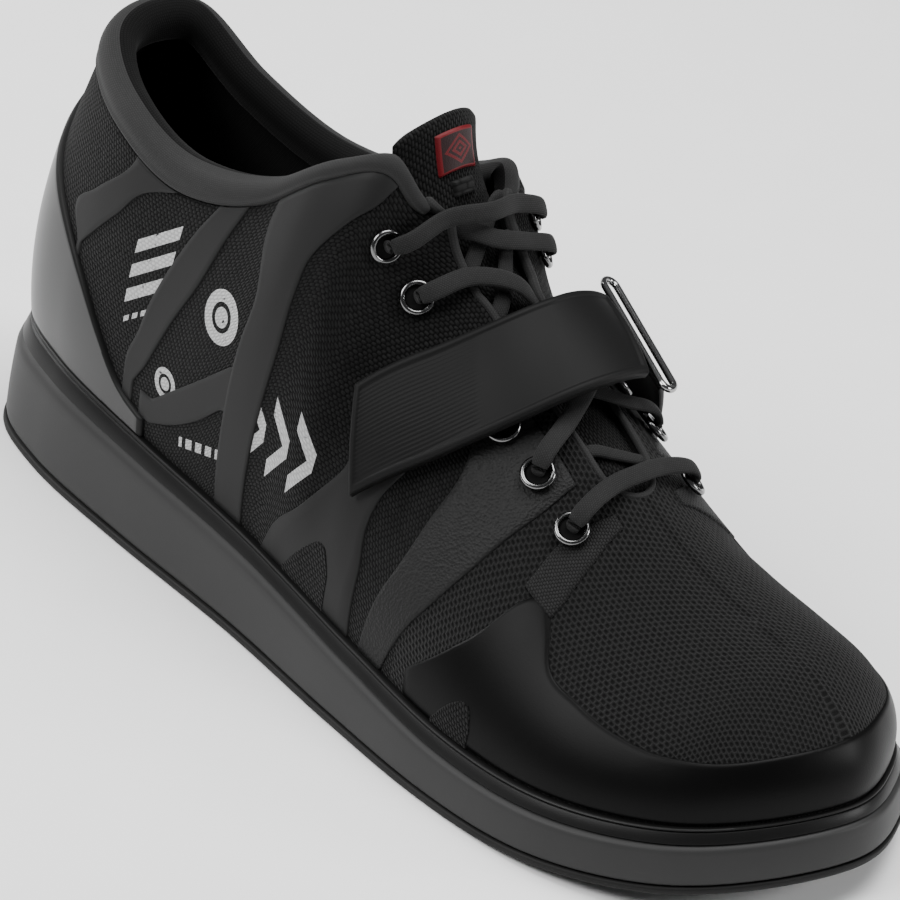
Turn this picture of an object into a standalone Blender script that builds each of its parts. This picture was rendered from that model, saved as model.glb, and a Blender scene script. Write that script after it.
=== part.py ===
"""Weightlifting shoe for the right foot, in separate solids.

X points to the toe, Y to the inner side of the foot and Z up. The floor is z = 0 and the
origin lies on it under the middle of the shoe. Sizes are millimetres until the last step.
"""
from collections import namedtuple

import bmesh
import bpy
import numpy as np
from mathutils import Vector
from mathutils.geometry import delaunay_2d_cdt

for old in list(bpy.data.objects):
    bpy.data.objects.remove(old, do_unlink=True)

METRE = 1000.0
SHARP_ANGLE = 40.0

# Driving sizes
LENGTH = 297.0
BALL_WIDTH = 110.0
CUFF_HEIGHT = 134.5
HEEL_STACK = 27.0
FOREFOOT_STACK = 13.2
OUTSOLE_THICKNESS = 2.2
TOE_SPRING = 9.7
SPRING_START = 0.70
UPPER_WALL = 2.6
SEAT_GAP = 0.3

# Sole side
SOLE_EDGE = 0.8
SIDEWALL_FOOT = 3.0
SIDEWALL_INSET = 0.5
SIDEWALL_FLARE = 1.5
WELT_LEDGE = 2.3
WELT_THICKNESS = 2.4
WELT_HEIGHT = 4.0
HEEL_WELT_RISE = 3.0
HEEL_WELT_END = 0.45
WELT_BEVEL = 0.8
WELT_GAP = 0.5
FEATHER_INSET = SIDEWALL_INSET + SIDEWALL_FLARE + WELT_LEDGE + WELT_THICKNESS + SEAT_GAP

# Insole
INSOLE_THICKNESS = 4.0
INSOLE_CLEARANCE = 0.5

# Throat, as shares of the half outline from heel back to toe tip
THROAT_TOP = 0.425
THROAT_END = 0.655
THROAT_HALF_GAP = 10.5
THROAT_END_GAP = 8.0
TOE_POLE = 0.81

# Outline of the sole. Along is a share of the length from the heel, the two sides are
# shares of the ball width from the centre line, and drop is the share of the heel lift
# already lost.
SoleRow = namedtuple("SoleRow", "place along outer inner drop")
SOLE_ROWS = (
    SoleRow("heel back", 0.000, 0.000, 0.000, 0.00),
    SoleRow("heel curve", 0.037, 0.253, 0.255, 0.01),
    SoleRow("heel side", 0.122, 0.355, 0.362, 0.05),
    SoleRow("heel front", 0.251, 0.397, 0.366, 0.16),
    SoleRow("waist", 0.415, 0.424, 0.341, 0.37),
    SoleRow("joint rear", 0.567, 0.473, 0.407, 0.68),
    SoleRow("ball", 0.699, 0.500, 0.500, 0.95),
    SoleRow("toe shoulder", 0.820, 0.475, 0.509, 1.00),
    SoleRow("toe corner", 0.918, 0.354, 0.438, 1.00),
    SoleRow("toe curve", 0.974, 0.161, 0.275, 1.00),
    SoleRow("toe tip", 1.000, -0.082, 0.082, 1.00),
)

# Top edge of the upper and the curve of its wall, a row for each section from heel to toe.
# Run is the share of the half outline. Along, outer and inner place the top edge as in the
# sole table, height is a share of the cuff height and dip lowers the inner side. Heading
# is the way inwards in degrees from the toe direction, lean is the tilt of the wall at the
# top edge, and bulge, lift and reach shape the wall in millimetres. Cuff is the rise, from
# 0 at the feather edge to 1 at the top edge, where the padded cuff begins.
UpperRow = namedtuple(
    "UpperRow", "place run along outer inner height dip heading lean bulge lift reach cuff")
UPPER_ROWS = (
    UpperRow("heel back", 0.000, 0.059, 0.000, 0.000, 0.900, 0.00, 0, 16, 7.0, 36, 28, 0.870),
    UpperRow("heel turn", 0.090, 0.079, 0.145, 0.145, 0.878, 0.00, 38, 14, 7.0, 36, 28, 0.875),
    UpperRow("heel side", 0.170, 0.143, 0.232, 0.200, 0.833, 0.05, 76, 12, 6.0, 34, 26, 0.875),
    UpperRow("ankle low", 0.260, 0.244, 0.259, 0.245, 0.799, 0.07, 90, 12, 5.0, 30, 24, 0.870),
    UpperRow("ankle front", 0.330, 0.338, 0.241, 0.250, 0.866, 0.09, 90, 22, 5.0, 30, 30, 0.910),
    UpperRow("cuff rise", 0.380, 0.402, 0.209, 0.240, 0.970, 0.11, 90, 32, 5.0, 32, 34, 0.935),
    UpperRow("cuff corner", 0.415, 0.443, 0.145, 0.210, 1.000, 0.09, 90, 40, 5.0, 34, 36, 0.950),
    UpperRow("throat top", 0.445, 0.460, 0.073, 0.180, 0.907, 0.04, 90, 55, 5.0, 34, 34, 0.960),
    UpperRow("lace rise", 0.470, 0.476, -0.018, 0.127, 0.833, 0.00, 90, 72, 5.5, 34, 30, 1.000),
    UpperRow("lace start", 0.500, 0.510, -0.073, 0.073, 0.766, 0.00, 90, 90, 6.0, 34, 26, 1.000),
    UpperRow("instep", 0.560, 0.574, -0.073, 0.073, 0.680, 0.00, 90, 90, 6.0, 30, 23, 1.000),
    UpperRow("low instep", 0.620, 0.655, -0.064, 0.064, 0.599, 0.00, 90, 90, 6.0, 27, 22, 1.000),
    UpperRow("vamp", 0.660, 0.715, -0.055, 0.055, 0.524, 0.00, 90, 90, 6.0, 24, 23, 1.000),
    UpperRow("toe break", 0.720, 0.783, -0.064, 0.064, 0.454, 0.00, 90, 90, 6.0, 20, 24, 1.000),
    UpperRow("toe box", 0.770, 0.837, -0.073, 0.073, 0.420, 0.00, 90, 90, 6.0, 18, 26, 1.000),
    UpperRow("toe top", TOE_POLE, 0.877, -0.082, 0.082, 0.401, 0.00, 90, 90, 6.0, 17, 26, 1.000),
    UpperRow("toe corner", 0.870, 0.877, -0.082, 0.082, 0.401, 0.00, 118, 90, 6.0, 17, 22, 1.000),
    UpperRow("toe curve", 0.935, 0.877, -0.082, 0.082, 0.401, 0.00, 150, 90, 6.0, 17, 18, 1.000),
    UpperRow("toe tip", 1.000, 0.877, -0.082, 0.082, 0.401, 0.00, 180, 90, 6.0, 17, 16, 1.000),
)
TOE_FALL = -0.14


def along_x(share):
    """Place along the shoe for a share of its length from the heel."""
    return (share - 0.5) * LENGTH


def column(rows, name):
    """One named column of a table as an array."""
    return np.array([getattr(row, name) for row in rows], dtype=float)


def slopes(places, values):
    """Slope of a smooth curve at each of its points."""
    return np.gradient(values, places)


def smooth(places, values, wanted):
    """Smooth curve through table values, read at the wanted places."""
    wanted = np.asarray(wanted, dtype=float)
    tangent = slopes(places, values)
    cell = np.clip(np.searchsorted(places, wanted, side="right") - 1, 0, len(places) - 2)
    step = places[cell + 1] - places[cell]
    t = (wanted - places[cell]) / step
    start = 2 * t**3 - 3 * t**2 + 1
    leave = t**3 - 2 * t**2 + t
    end = 3 * t**2 - 2 * t**3
    arrive = t**3 - t**2
    return (start * values[cell] + leave * step * tangent[cell]
            + end * values[cell + 1] + arrive * step * tangent[cell + 1])


def around(rows, lateral, medial):
    """Both sides of a table as one loop: medial runs are negative, the heel back is 0."""
    run = column(rows, "run")
    places = np.concatenate([-run[:0:-1], run])
    values = np.concatenate([medial[:0:-1], lateral])
    wrap_low = places[-2] - 2.0
    wrap_high = places[1] + 2.0
    places = np.concatenate([[wrap_low], places, [wrap_high]])
    values = np.concatenate([[values[-2]], values, [values[1]]])
    return places, values


# Sole outline
OUTLINE_STEPS = 24


def outline_loop():
    """Fine closed outline of the sole and the signed run of each of its points."""
    x = along_x(column(SOLE_ROWS, "along"))
    outer = -column(SOLE_ROWS, "outer") * BALL_WIDTH
    inner = column(SOLE_ROWS, "inner") * BALL_WIDTH
    last = len(SOLE_ROWS) - 1
    index = np.arange(-last, last + 1)
    corner_x = np.concatenate([x[:0:-1], x])
    corner_y = np.concatenate([inner[:0:-1], outer])
    index = np.concatenate([[-last - 1], index, [last + 1]]).astype(float)
    corner_x = np.concatenate([[corner_x[-2]], corner_x, [corner_x[1]]])
    corner_y = np.concatenate([[corner_y[-2]], corner_y, [corner_y[1]]])
    fine = np.linspace(-last, last, 2 * last * OUTLINE_STEPS + 1)
    points = np.stack([smooth(index, corner_x, fine), smooth(index, corner_y, fine)], axis=1)
    lengths = np.concatenate([[0.0], np.cumsum(np.linalg.norm(np.diff(points, axis=0), axis=1))])
    middle = len(fine) // 2
    run = np.where(np.arange(len(fine)) < middle,
                   lengths / lengths[middle] - 1.0,
                   (lengths - lengths[middle]) / (lengths[-1] - lengths[middle]))
    return run, points


OUTLINE_RUN, OUTLINE_POINTS = outline_loop()
HALF_OUTLINE = np.linalg.norm(np.diff(OUTLINE_POINTS, axis=0), axis=1).sum() / 2.0


def sole_edge(run, inset):
    """Point of the outline at a signed run, moved inwards by the inset, and the way in."""
    run = np.asarray(run, dtype=float)
    step = 0.004

    def read(place):
        place = (place + 1.0) % 2.0 - 1.0
        return np.stack([np.interp(place, OUTLINE_RUN, OUTLINE_POINTS[:, 0]),
                         np.interp(place, OUTLINE_RUN, OUTLINE_POINTS[:, 1])], axis=-1)

    ahead = read(run + step) - read(run - step)
    ahead /= np.linalg.norm(ahead, axis=-1, keepdims=True)
    inward = np.stack([-ahead[..., 1], ahead[..., 0]], axis=-1)
    return read(run) + inward * np.asarray(inset)[..., None], inward


def spring(x):
    """Rise of the sole towards the toe."""
    share = x / LENGTH + 0.5
    return TOE_SPRING * (np.clip(share - SPRING_START, 0.0, None) / (1.0 - SPRING_START))**2


def stack(x):
    """Height of the top of the sidewall above the floor, toe spring included."""
    share = np.clip(x / LENGTH + 0.5, 0.0, 1.0)
    drop = smooth(column(SOLE_ROWS, "along"), column(SOLE_ROWS, "drop"), share)
    return HEEL_STACK - (HEEL_STACK - FOREFOOT_STACK) * drop + spring(x)


def welt_top(x):
    """Height of the top of the welt."""
    share = x / LENGTH + 0.5
    heel = np.clip(1.0 - share / HEEL_WELT_END, 0.0, 1.0)
    return stack(x) + WELT_HEIGHT + HEEL_WELT_RISE * heel


# Skin of the upper
def upper_values(name, run):
    """Column of the upper table at signed runs."""
    values = column(UPPER_ROWS, name)
    places, loop = around(UPPER_ROWS, values, values)
    return smooth(places, loop, run)


def top_edge(run):
    """Guide of the top edge, or of the ridge where the two sides meet."""
    x = along_x(upper_values("along", run))
    outer = -column(UPPER_ROWS, "outer") * BALL_WIDTH
    inner = column(UPPER_ROWS, "inner") * BALL_WIDTH
    places, loop = around(UPPER_ROWS, outer, inner)
    y = smooth(places, loop, run)
    height = column(UPPER_ROWS, "height")
    places, loop = around(UPPER_ROWS, height, height - column(UPPER_ROWS, "dip"))
    z = smooth(places, loop, run) * CUFF_HEIGHT
    return np.stack([x, y, z], axis=-1)


def skin_base(run, rise):
    """Outer face of the upper: rise 0 is the feather edge and 1 the guide of the top edge."""
    run, rise = np.broadcast_arrays(np.asarray(run, float), np.asarray(rise, float))
    run = (run + 1.0) % 2.0 - 1.0
    foot, _ = sole_edge(run, FEATHER_INSET)
    foot = np.concatenate([foot, (stack(foot[..., 0]) + SEAT_GAP)[..., None]], axis=-1)
    top = top_edge(run)
    heading = np.radians(upper_values("heading", np.abs(run)))
    side = np.where(run < 0.0, -1.0, 1.0)
    inward = np.stack([np.cos(heading), side * np.sin(heading), 0.0 * run], axis=-1)
    lean = np.radians(upper_values("lean", run))
    arrive = inward.copy()
    arrive[..., 2] = inward[..., 0] * TOE_FALL
    arrive = arrive * np.sin(lean)[..., None]
    arrive[..., 2] += np.cos(lean)
    low = foot - inward * upper_values("bulge", run)[..., None]
    low[..., 2] += upper_values("lift", run)
    high = top - arrive * upper_values("reach", run)[..., None]
    t = rise[..., None]
    return ((1 - t)**3 * foot + 3 * (1 - t)**2 * t * low
            + 3 * (1 - t) * t**2 * high + t**3 * top)


def skin(run, rise, offset=0.0):
    """Point on the skin of the upper, moved outwards by the offset."""
    run, rise = np.broadcast_arrays(np.asarray(run, float), np.asarray(rise, float))
    step = 0.003
    low = np.clip(rise - step, 0.0, None)
    ahead = skin_base(run + step, rise) - skin_base(run - step, rise)
    upward = skin_base(run, rise + step) - skin_base(run, low)
    outward = np.cross(ahead, upward)
    pole = (np.abs(run) >= TOE_POLE) & (rise > 0.985)
    outward[pole] = (0.0, 0.0, 1.0)
    outward /= np.linalg.norm(outward, axis=-1, keepdims=True)
    return skin_base(run, rise) + outward * np.asarray(offset, float)[..., None]


def rise_at(run, height):
    """Rise at which the skin reaches a height, for each of some runs."""
    samples = np.linspace(0.0, 0.3, 31)
    rows = skin_base(run[:, None], samples[None, :])
    return np.array([np.interp(goal, row[:, 2], samples) for goal, row in zip(height, rows)])


WELT_CLEARANCE = 0.9
CUFF_CLEARANCE = 0.8


def foot_x(run):
    """Place along the shoe of the feather edge."""
    return sole_edge(run, np.full(run.shape, FEATHER_INSET))[0][:, 0]


def welt_line(run):
    """Rise at which the skin leaves the welt, for each of some runs."""
    return rise_at(run, welt_top(foot_x(run)) + WELT_CLEARANCE)


def cuff_line(run):
    """Rise just below the foot of the cuff, for each of some runs."""
    low = upper_values("cuff", run)
    reach = np.linalg.norm(skin_base(run, np.ones(run.shape)) - skin_base(run, low), axis=1)
    return low - (1.0 - low) * CUFF_CLEARANCE / reach


# Throat
THROAT_TURN = THROAT_END - THROAT_END_GAP / HALF_OUTLINE
THROAT_RIDGE = 0.073
THROAT_MEETS_RIDGE = 0.5
RISE_SAMPLES = np.linspace(0.5, 1.0, 101)


def throat_gap(run):
    """Half width of the throat at a run, closing in a half round at its toe end."""
    run = np.abs(run)
    share = np.clip((run - THROAT_TOP) / (THROAT_END - THROAT_TOP), 0.0, 1.0)
    width = THROAT_HALF_GAP + (THROAT_END_GAP - THROAT_HALF_GAP) * share
    turn = np.clip((run - THROAT_TURN) / (THROAT_END - THROAT_TURN), 0.0, 1.0)
    return width * np.sqrt(np.clip(1.0 - turn**2, 0.0, 1.0))


def throat_edge(run):
    """Rise at which the skin is cut for the throat, for one signed run."""
    if abs(run) >= THROAT_END:
        return 1.0
    across = skin_base(np.full(len(RISE_SAMPLES), run), RISE_SAMPLES)[:, 1]
    side = 1.0 if run >= 0.0 else -1.0
    ridge = THROAT_RIDGE * BALL_WIDTH if abs(run) < THROAT_MEETS_RIDGE else across[-1]
    wanted = (ridge - side * throat_gap(run)) * side
    across = across * side
    if across[-1] <= wanted:
        return 1.0
    return float(np.interp(wanted, across, RISE_SAMPLES))


# Cuff ends where the throat begins
CUFF_END = 0.4455
CUFF_RAMP = (0.4475, 0.4525)


def upper_top(run):
    """Rise of the top edge of the upper's own wall at one signed run."""
    top = throat_edge(run)
    if abs(run) >= CUFF_RAMP[1]:
        return top
    cuff = float(upper_values("cuff", np.array([run]))[0])
    share = np.clip((abs(run) - CUFF_RAMP[0]) / (CUFF_RAMP[1] - CUFF_RAMP[0]), 0.0, 1.0)
    return cuff + (top - cuff) * share


# Solids
def solid(name, points, faces, material, round_shading=True):
    """Object of one closed body from millimetre points."""
    mesh = bpy.data.meshes.new(name)
    mesh.from_pydata([tuple(point / METRE) for point in points], [], faces)
    mesh.validate()
    edit = bmesh.new()
    edit.from_mesh(mesh)
    bmesh.ops.triangulate(edit, faces=edit.faces, quad_method="SHORT_EDGE")
    edit.to_mesh(mesh)
    edit.free()
    if round_shading:
        mesh.shade_smooth()
        mesh.set_sharp_from_angle(angle=np.radians(SHARP_ANGLE))
    mesh.materials.append(material)
    made = bpy.data.objects.new(name, mesh)
    bpy.context.scene.collection.objects.link(made)
    return made


def finish(name, colour, roughness, metallic=0.0):
    """Plain surface material."""
    made = bpy.data.materials.new(name)
    made.use_nodes = True
    shader = made.node_tree.nodes["Principled BSDF"]
    shader.inputs["Base Color"].default_value = (*colour, 1.0)
    shader.inputs["Roughness"].default_value = roughness
    shader.inputs["Metallic"].default_value = metallic
    return made


def layered(name, outer, inner, material, ring=False):
    """Closed body between two grids of points, as a ring or with two ends."""
    count, rows = outer.shape[:2]
    points = np.concatenate([outer.reshape(-1, 3), inner.reshape(-1, 3)])
    second = count * rows

    def face(i, j):
        return (i % count) * rows + j

    faces = []
    spans = count if ring else count - 1
    for i in range(spans):
        for j in range(rows - 1):
            a, b, c, d = face(i, j), face(i + 1, j), face(i + 1, j + 1), face(i, j + 1)
            faces.append((a, b, c, d))
            faces.append((second + d, second + c, second + b, second + a))
        low, low_next = face(i, 0), face(i + 1, 0)
        high, high_next = face(i, rows - 1), face(i + 1, rows - 1)
        faces.append((second + low, second + low_next, low_next, low))
        faces.append((high, high_next, second + high_next, second + high))
    if not ring:
        for j in range(rows - 1):
            start, start_up = face(0, j), face(0, j + 1)
            end, end_up = face(count - 1, j), face(count - 1, j + 1)
            faces.append((start, start_up, second + start_up, second + start))
            faces.append((second + end, second + end_up, end_up, end))
    return solid(name, points, faces, material)


def tube(name, rings, material, closed=False):
    """Closed body swept through rings of points, capped at both ends or joined as a loop."""
    count, around_count = rings.shape[:2]
    points = rings.reshape(-1, 3)
    faces = []
    for i in range(count if closed else count - 1):
        after = (i + 1) % count
        for j in range(around_count):
            k = (j + 1) % around_count
            faces.append((i * around_count + j, i * around_count + k,
                          after * around_count + k, after * around_count + j))
    if not closed:
        faces.append(tuple(range(around_count))[::-1])
        faces.append(tuple((count - 1) * around_count + j for j in range(around_count)))
    return solid(name, points, faces, material)


# Sole
SOLE_STATIONS = 68
SOLE_RUNS = -1.0 + 2.0 * np.arange(SOLE_STATIONS) / SOLE_STATIONS


def level(inset, height):
    """Ring of the sole at an inset, with its height from a rule of x."""
    flat, _ = sole_edge(SOLE_RUNS, np.full(SOLE_STATIONS, inset))
    return np.concatenate([flat, np.asarray(height(flat[:, 0]))[:, None]], axis=1)


def slab(name, levels, material):
    """Solid through rings from bottom to top, closed with strips across."""
    count = len(levels[0])
    points = np.concatenate(levels)
    faces = []
    for i in range(len(levels) - 1):
        for j in range(count):
            k = (j + 1) % count
            faces.append((i * count + j, i * count + k, (i + 1) * count + k, (i + 1) * count + j))
    top = (len(levels) - 1) * count
    half = count // 2
    for j in range(1, half - 1):
        near, far = j, count - j
        faces.append((near, far, far - 1, near + 1))
        faces.append((top + near, top + near + 1, top + far - 1, top + far))
    faces.append((0, count - 1, 1))
    faces.append((top, top + 1, top + count - 1))
    faces.append((half - 1, half + 1, half))
    faces.append((top + half - 1, top + half, top + half + 1))
    return solid(name, points, faces, material)


def ring_wall(name, outer_levels, inner_levels, material):
    """Ring between outer and inner rings of points, closed below and above."""
    outer = np.stack(outer_levels, axis=1)
    inner = np.stack(inner_levels, axis=1)
    return layered(name, outer, inner, material, ring=True)


def build_sole():
    """Outsole, midsole, welt and insole."""
    black = finish("outsole rubber", (0.018, 0.018, 0.019), 0.7)
    grey = finish("midsole moulding", (0.062, 0.062, 0.064), 0.55)
    dark = finish("welt rubber", (0.024, 0.024, 0.025), 0.5)
    cloth = finish("insole fabric", (0.03, 0.03, 0.032), 0.9)
    slab("outsole", [
        level(SOLE_EDGE, spring),
        level(0.0, lambda x: spring(x) + SOLE_EDGE),
        level(0.0, lambda x: spring(x) + OUTSOLE_THICKNESS),
    ], black)
    base = OUTSOLE_THICKNESS + SEAT_GAP
    shoulder = SIDEWALL_INSET + SIDEWALL_FLARE
    slab("midsole", [
        level(SIDEWALL_INSET, lambda x: spring(x) + base),
        level(SIDEWALL_INSET, lambda x: spring(x) + base + SIDEWALL_FOOT),
        level(shoulder, lambda x: stack(x) - SOLE_EDGE),
        level(shoulder + SOLE_EDGE, stack),
    ], grey)
    outer = shoulder + WELT_LEDGE

    def inner(share):
        x = foot_x(SOLE_RUNS)
        low = stack(x) + SEAT_GAP
        height = low + (welt_top(x) - low) * share
        wall = skin(SOLE_RUNS, rise_at(SOLE_RUNS, height), np.full(SOLE_STATIONS, WELT_GAP))
        wall[:, 2] = height
        return wall

    ring_wall("welt", [
        level(shoulder + SOLE_EDGE, lambda x: stack(x) + SEAT_GAP),
        level(outer, lambda x: welt_top(x) - WELT_BEVEL),
        level(outer + WELT_BEVEL, welt_top),
    ], [
        inner(0.0),
        inner(0.6),
        inner(1.0),
    ], dark)
    edge = FEATHER_INSET + UPPER_WALL + INSOLE_CLEARANCE
    slab("insole", [
        level(edge, lambda x: stack(x) + SEAT_GAP),
        level(edge, lambda x: stack(x) + SEAT_GAP + INSOLE_THICKNESS - SOLE_EDGE),
        level(edge + SOLE_EDGE, lambda x: stack(x) + SEAT_GAP + INSOLE_THICKNESS),
    ], cloth)


# Upper
UPPER_ROWS_UP = 11
CUFF_STATIONS = 25


def upper_runs():
    """Stations of the upper, closer together at the throat's end and the cuff's ends."""
    heel_to_cuff = np.linspace(0.0, CUFF_RAMP[0], CUFF_STATIONS)
    throat = np.linspace(CUFF_RAMP[1], THROAT_TURN, 10)
    turn = THROAT_TURN + (THROAT_END - THROAT_TURN) * np.sin(np.radians([30.0, 55.0, 75.0, 90.0]))
    toe = np.linspace(THROAT_END, 1.0, 14)[1:]
    half = np.concatenate([heel_to_cuff, throat, turn, toe])
    return np.concatenate([-half[:0:-1], half[:-1]])


def build_upper():
    """Hollow shell of the upper, open at the collar, the throat and underneath."""
    cloth = finish("upper mesh", (0.022, 0.022, 0.024), 0.85)
    runs = upper_runs()
    count = len(runs)
    tops = np.array([upper_top(run) for run in runs])
    shares = np.linspace(0.0, 1.0, UPPER_ROWS_UP)
    rises = tops[:, None] * shares[None, :]
    outer = skin(runs[:, None], rises)
    inner = skin(runs[:, None], rises, np.full(rises.shape, -UPPER_WALL))
    inner[:, 0, 2] = outer[:, 0, 2]
    points = []
    index = {}

    def vertex(key, point):
        if key not in index:
            index[key] = len(points)
            points.append(point)
        return index[key]

    last = UPPER_ROWS_UP - 1

    def at(layer, grid, i, j):
        i %= count
        if j == last and abs(runs[i]) >= THROAT_END:
            run = round(abs(runs[i]), 6)
            if abs(runs[i]) >= TOE_POLE:
                run = "pole"
            mirror = int(np.argmin(np.abs(runs + runs[i]))) if abs(runs[i]) < 1.0 else i
            return vertex((layer, run), (grid[i, j] + grid[mirror, j]) / 2.0)
        return vertex((layer, i, j), grid[i, j])

    faces = []

    def add(corners):
        kept = [v for n, v in enumerate(corners) if v != corners[n - 1]]
        if len(set(kept)) >= 3:
            faces.append(tuple(kept))

    for i in range(count):
        for j in range(last):
            add([at("out", outer, i, j), at("out", outer, i + 1, j),
                 at("out", outer, i + 1, j + 1), at("out", outer, i, j + 1)])
            add([at("in", inner, i, j + 1), at("in", inner, i + 1, j + 1),
                 at("in", inner, i + 1, j), at("in", inner, i, j)])
        add([at("in", inner, i, 0), at("in", inner, i + 1, 0),
             at("out", outer, i + 1, 0), at("out", outer, i, 0)])
        after = (i + 1) % count
        if abs(runs[i]) < THROAT_END or abs(runs[after]) < THROAT_END:
            add([at("out", outer, i, last), at("out", outer, i + 1, last),
                 at("in", inner, i + 1, last), at("in", inner, i, last)])
    solid("upper", points, faces, cloth)


# Padded cuff
# Share is the height in the cuff from its lower edge to the top edge, and stand is the
# distance outside the skin there as a share of the padding.
CuffRow = namedtuple("CuffRow", "place share stand")
CUFF_SECTION = (
    CuffRow("outer foot", 0.02, 0.03),
    CuffRow("outer swell", 0.25, 0.16),
    CuffRow("outer cheek", 0.55, 0.22),
    CuffRow("outer shoulder", 0.85, 0.12),
    CuffRow("crown", 1.03, -0.18),
    CuffRow("inner crown", 1.06, -0.48),
    CuffRow("inner shoulder", 0.95, -0.78),
    CuffRow("inner cheek", 0.70, -0.97),
    CuffRow("inner swell", 0.35, -1.00),
    CuffRow("inner foot", 0.02, -0.86),
)
CUFF_GAP = 0.45
CUFF_PADDING = 8.0
CUFF_PADDING_END = 5.0
CUFF_THIN_START = 0.36


def build_cuff():
    """Padded roll along the ankle opening."""
    cloth = finish("cuff fabric", (0.06, 0.06, 0.062), 0.75)
    half = np.linspace(0.0, CUFF_RAMP[0], CUFF_STATIONS)
    half[-1] = CUFF_END
    runs = np.concatenate([-half[:0:-1], half])
    low = upper_values("cuff", runs)
    profile = np.linalg.norm(skin_base(runs, np.ones(len(runs))) - skin_base(runs, low), axis=1)
    foot = low + (1.0 - low) * CUFF_GAP / profile
    end = np.clip((np.abs(runs) - CUFF_THIN_START) / (CUFF_END - CUFF_THIN_START), 0.0, 1.0)
    padding = CUFF_PADDING + (CUFF_PADDING_END - CUFF_PADDING) * end
    share = column(CUFF_SECTION, "share")
    stand = column(CUFF_SECTION, "stand")
    rises = foot[:, None] + (1.0 - foot[:, None]) * share[None, :]
    rings = skin(runs[:, None], rises, padding[:, None] * stand[None, :])
    tube("cuff", rings[:, ::-1], cloth)


# Overlays on the skin
OVERLAY_THICKNESS = 1.1
COUNTER_THICKNESS = 1.8
OVERLAY_GAP = 0.45

# A band is read at a few rises, with the run of its heel side and of its toe side. A first
# rise of 0 stands for the top of the welt, and a band that is called high is stretched to
# the foot of the cuff.
BandRow = namedtuple("BandRow", "rise rear front")
HEEL_BAND = (
    BandRow(0.46, 0.166, 0.172), BandRow(0.54, 0.151, 0.186),
    BandRow(0.64, 0.170, 0.203), BandRow(0.82, 0.203, 0.238), BandRow(0.86, 0.206, 0.256),
)
ANKLE_BAND = (
    BandRow(0.21, 0.247, 0.259), BandRow(0.27, 0.247, 0.268), BandRow(0.36, 0.254, 0.277),
    BandRow(0.47, 0.259, 0.287), BandRow(0.60, 0.268, 0.300), BandRow(0.78, 0.284, 0.312),
    BandRow(0.87, 0.295, 0.320),
)
SADDLE_BAND = (
    BandRow(0.00, 0.363, 0.394), BandRow(0.25, 0.361, 0.395), BandRow(0.48, 0.359, 0.396),
    BandRow(0.62, 0.360, 0.393), BandRow(0.70, 0.354, 0.394), BandRow(0.78, 0.347, 0.408),
    BandRow(0.84, 0.344, 0.420), BandRow(0.92, 0.344, 0.426),
)
STRAP_BASE = (
    BandRow(0.00, 0.418, 0.531), BandRow(0.13, 0.436, 0.530), BandRow(0.20, 0.454, 0.529),
    BandRow(0.28, 0.471, 0.523), BandRow(0.36, 0.485, 0.524), BandRow(0.46, 0.485, 0.534),
)
FOREFOOT_BAND = (
    BandRow(0.00, 0.544, 0.571), BandRow(0.18, 0.553, 0.588), BandRow(0.30, 0.563, 0.603),
    BandRow(0.42, 0.569, 0.615), BandRow(0.55, 0.573, 0.624), BandRow(0.68, 0.563, 0.631),
    BandRow(0.80, 0.560, 0.633),
)
RAND_ARM = (
    BandRow(0.585, 0.650, 0.678), BandRow(0.65, 0.649, 0.675), BandRow(0.72, 0.650, 0.672),
    BandRow(0.80, 0.654, 0.668), BandRow(0.86, 0.657, 0.666),
)
# The toe rand and the arm between counter and saddle are read along the run instead.
ReachRow = namedtuple("ReachRow", "run low high")
COUNTER = (
    ReachRow(0.000, 0.00, 0.70), ReachRow(0.050, 0.00, 0.67), ReachRow(0.100, 0.00, 0.575),
    ReachRow(0.157, 0.00, 0.455), ReachRow(0.190, 0.00, 0.360), ReachRow(0.214, 0.00, 0.270),
    ReachRow(0.242, 0.00, 0.170), ReachRow(0.276, 0.00, 0.120),
)
SADDLE_ARM = (
    ReachRow(0.282, 0.12, 0.205), ReachRow(0.308, 0.175, 0.300), ReachRow(0.336, 0.250, 0.390),
    ReachRow(0.3565, 0.315, 0.440),
)
TOE_RAND = (
    ReachRow(0.598, 0.00, 0.125), ReachRow(0.609, 0.00, 0.170), ReachRow(0.631, 0.00, 0.280),
    ReachRow(0.646, 0.00, 0.390), ReachRow(0.654, 0.00, 0.500), ReachRow(0.668, 0.00, 0.560),
    ReachRow(0.680, 0.00, 0.530), ReachRow(0.700, 0.00, 0.450), ReachRow(0.740, 0.00, 0.420),
    ReachRow(0.800, 0.00, 0.400), ReachRow(0.860, 0.00, 0.400), ReachRow(0.930, 0.00, 0.430),
    ReachRow(1.000, 0.00, 0.440),
)


def overlay(name, runs, rises, material, thickness=OVERLAY_THICKNESS):
    """Thin body on the skin over a grid of runs and rises."""
    low = skin(runs, rises, np.full(runs.shape, OVERLAY_GAP))
    high = skin(runs, rises, np.full(runs.shape, OVERLAY_GAP + thickness))
    return layered(name, high, low, material)


def band(name, rows, material, side=1.0, steps=11, across=4, high=False):
    """Overlay read from a table of bands."""
    rise = np.linspace(rows[0].rise, rows[-1].rise, steps)
    places = column(rows, "rise")
    rear = smooth(places, column(rows, "rear"), rise)
    front = smooth(places, column(rows, "front"), rise)
    share = np.linspace(0.0, 1.0, across)
    runs = rear[None, :] + (front - rear)[None, :] * share[:, None]
    rises = np.broadcast_to(rise[None, :], runs.shape)
    if rows[0].rise == 0.0:
        seat = welt_line(side * runs[:, 0])[:, None]
        rises = seat + rises * (1.0 - seat / rise[-1])
    if high:
        rises = rises * (cuff_line(side * runs[:, -1]) / rise[-1])[:, None]
    if side < 0.0:
        runs, rises = -runs[::-1], rises[::-1]
    return overlay(name, runs, rises, material)


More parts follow.
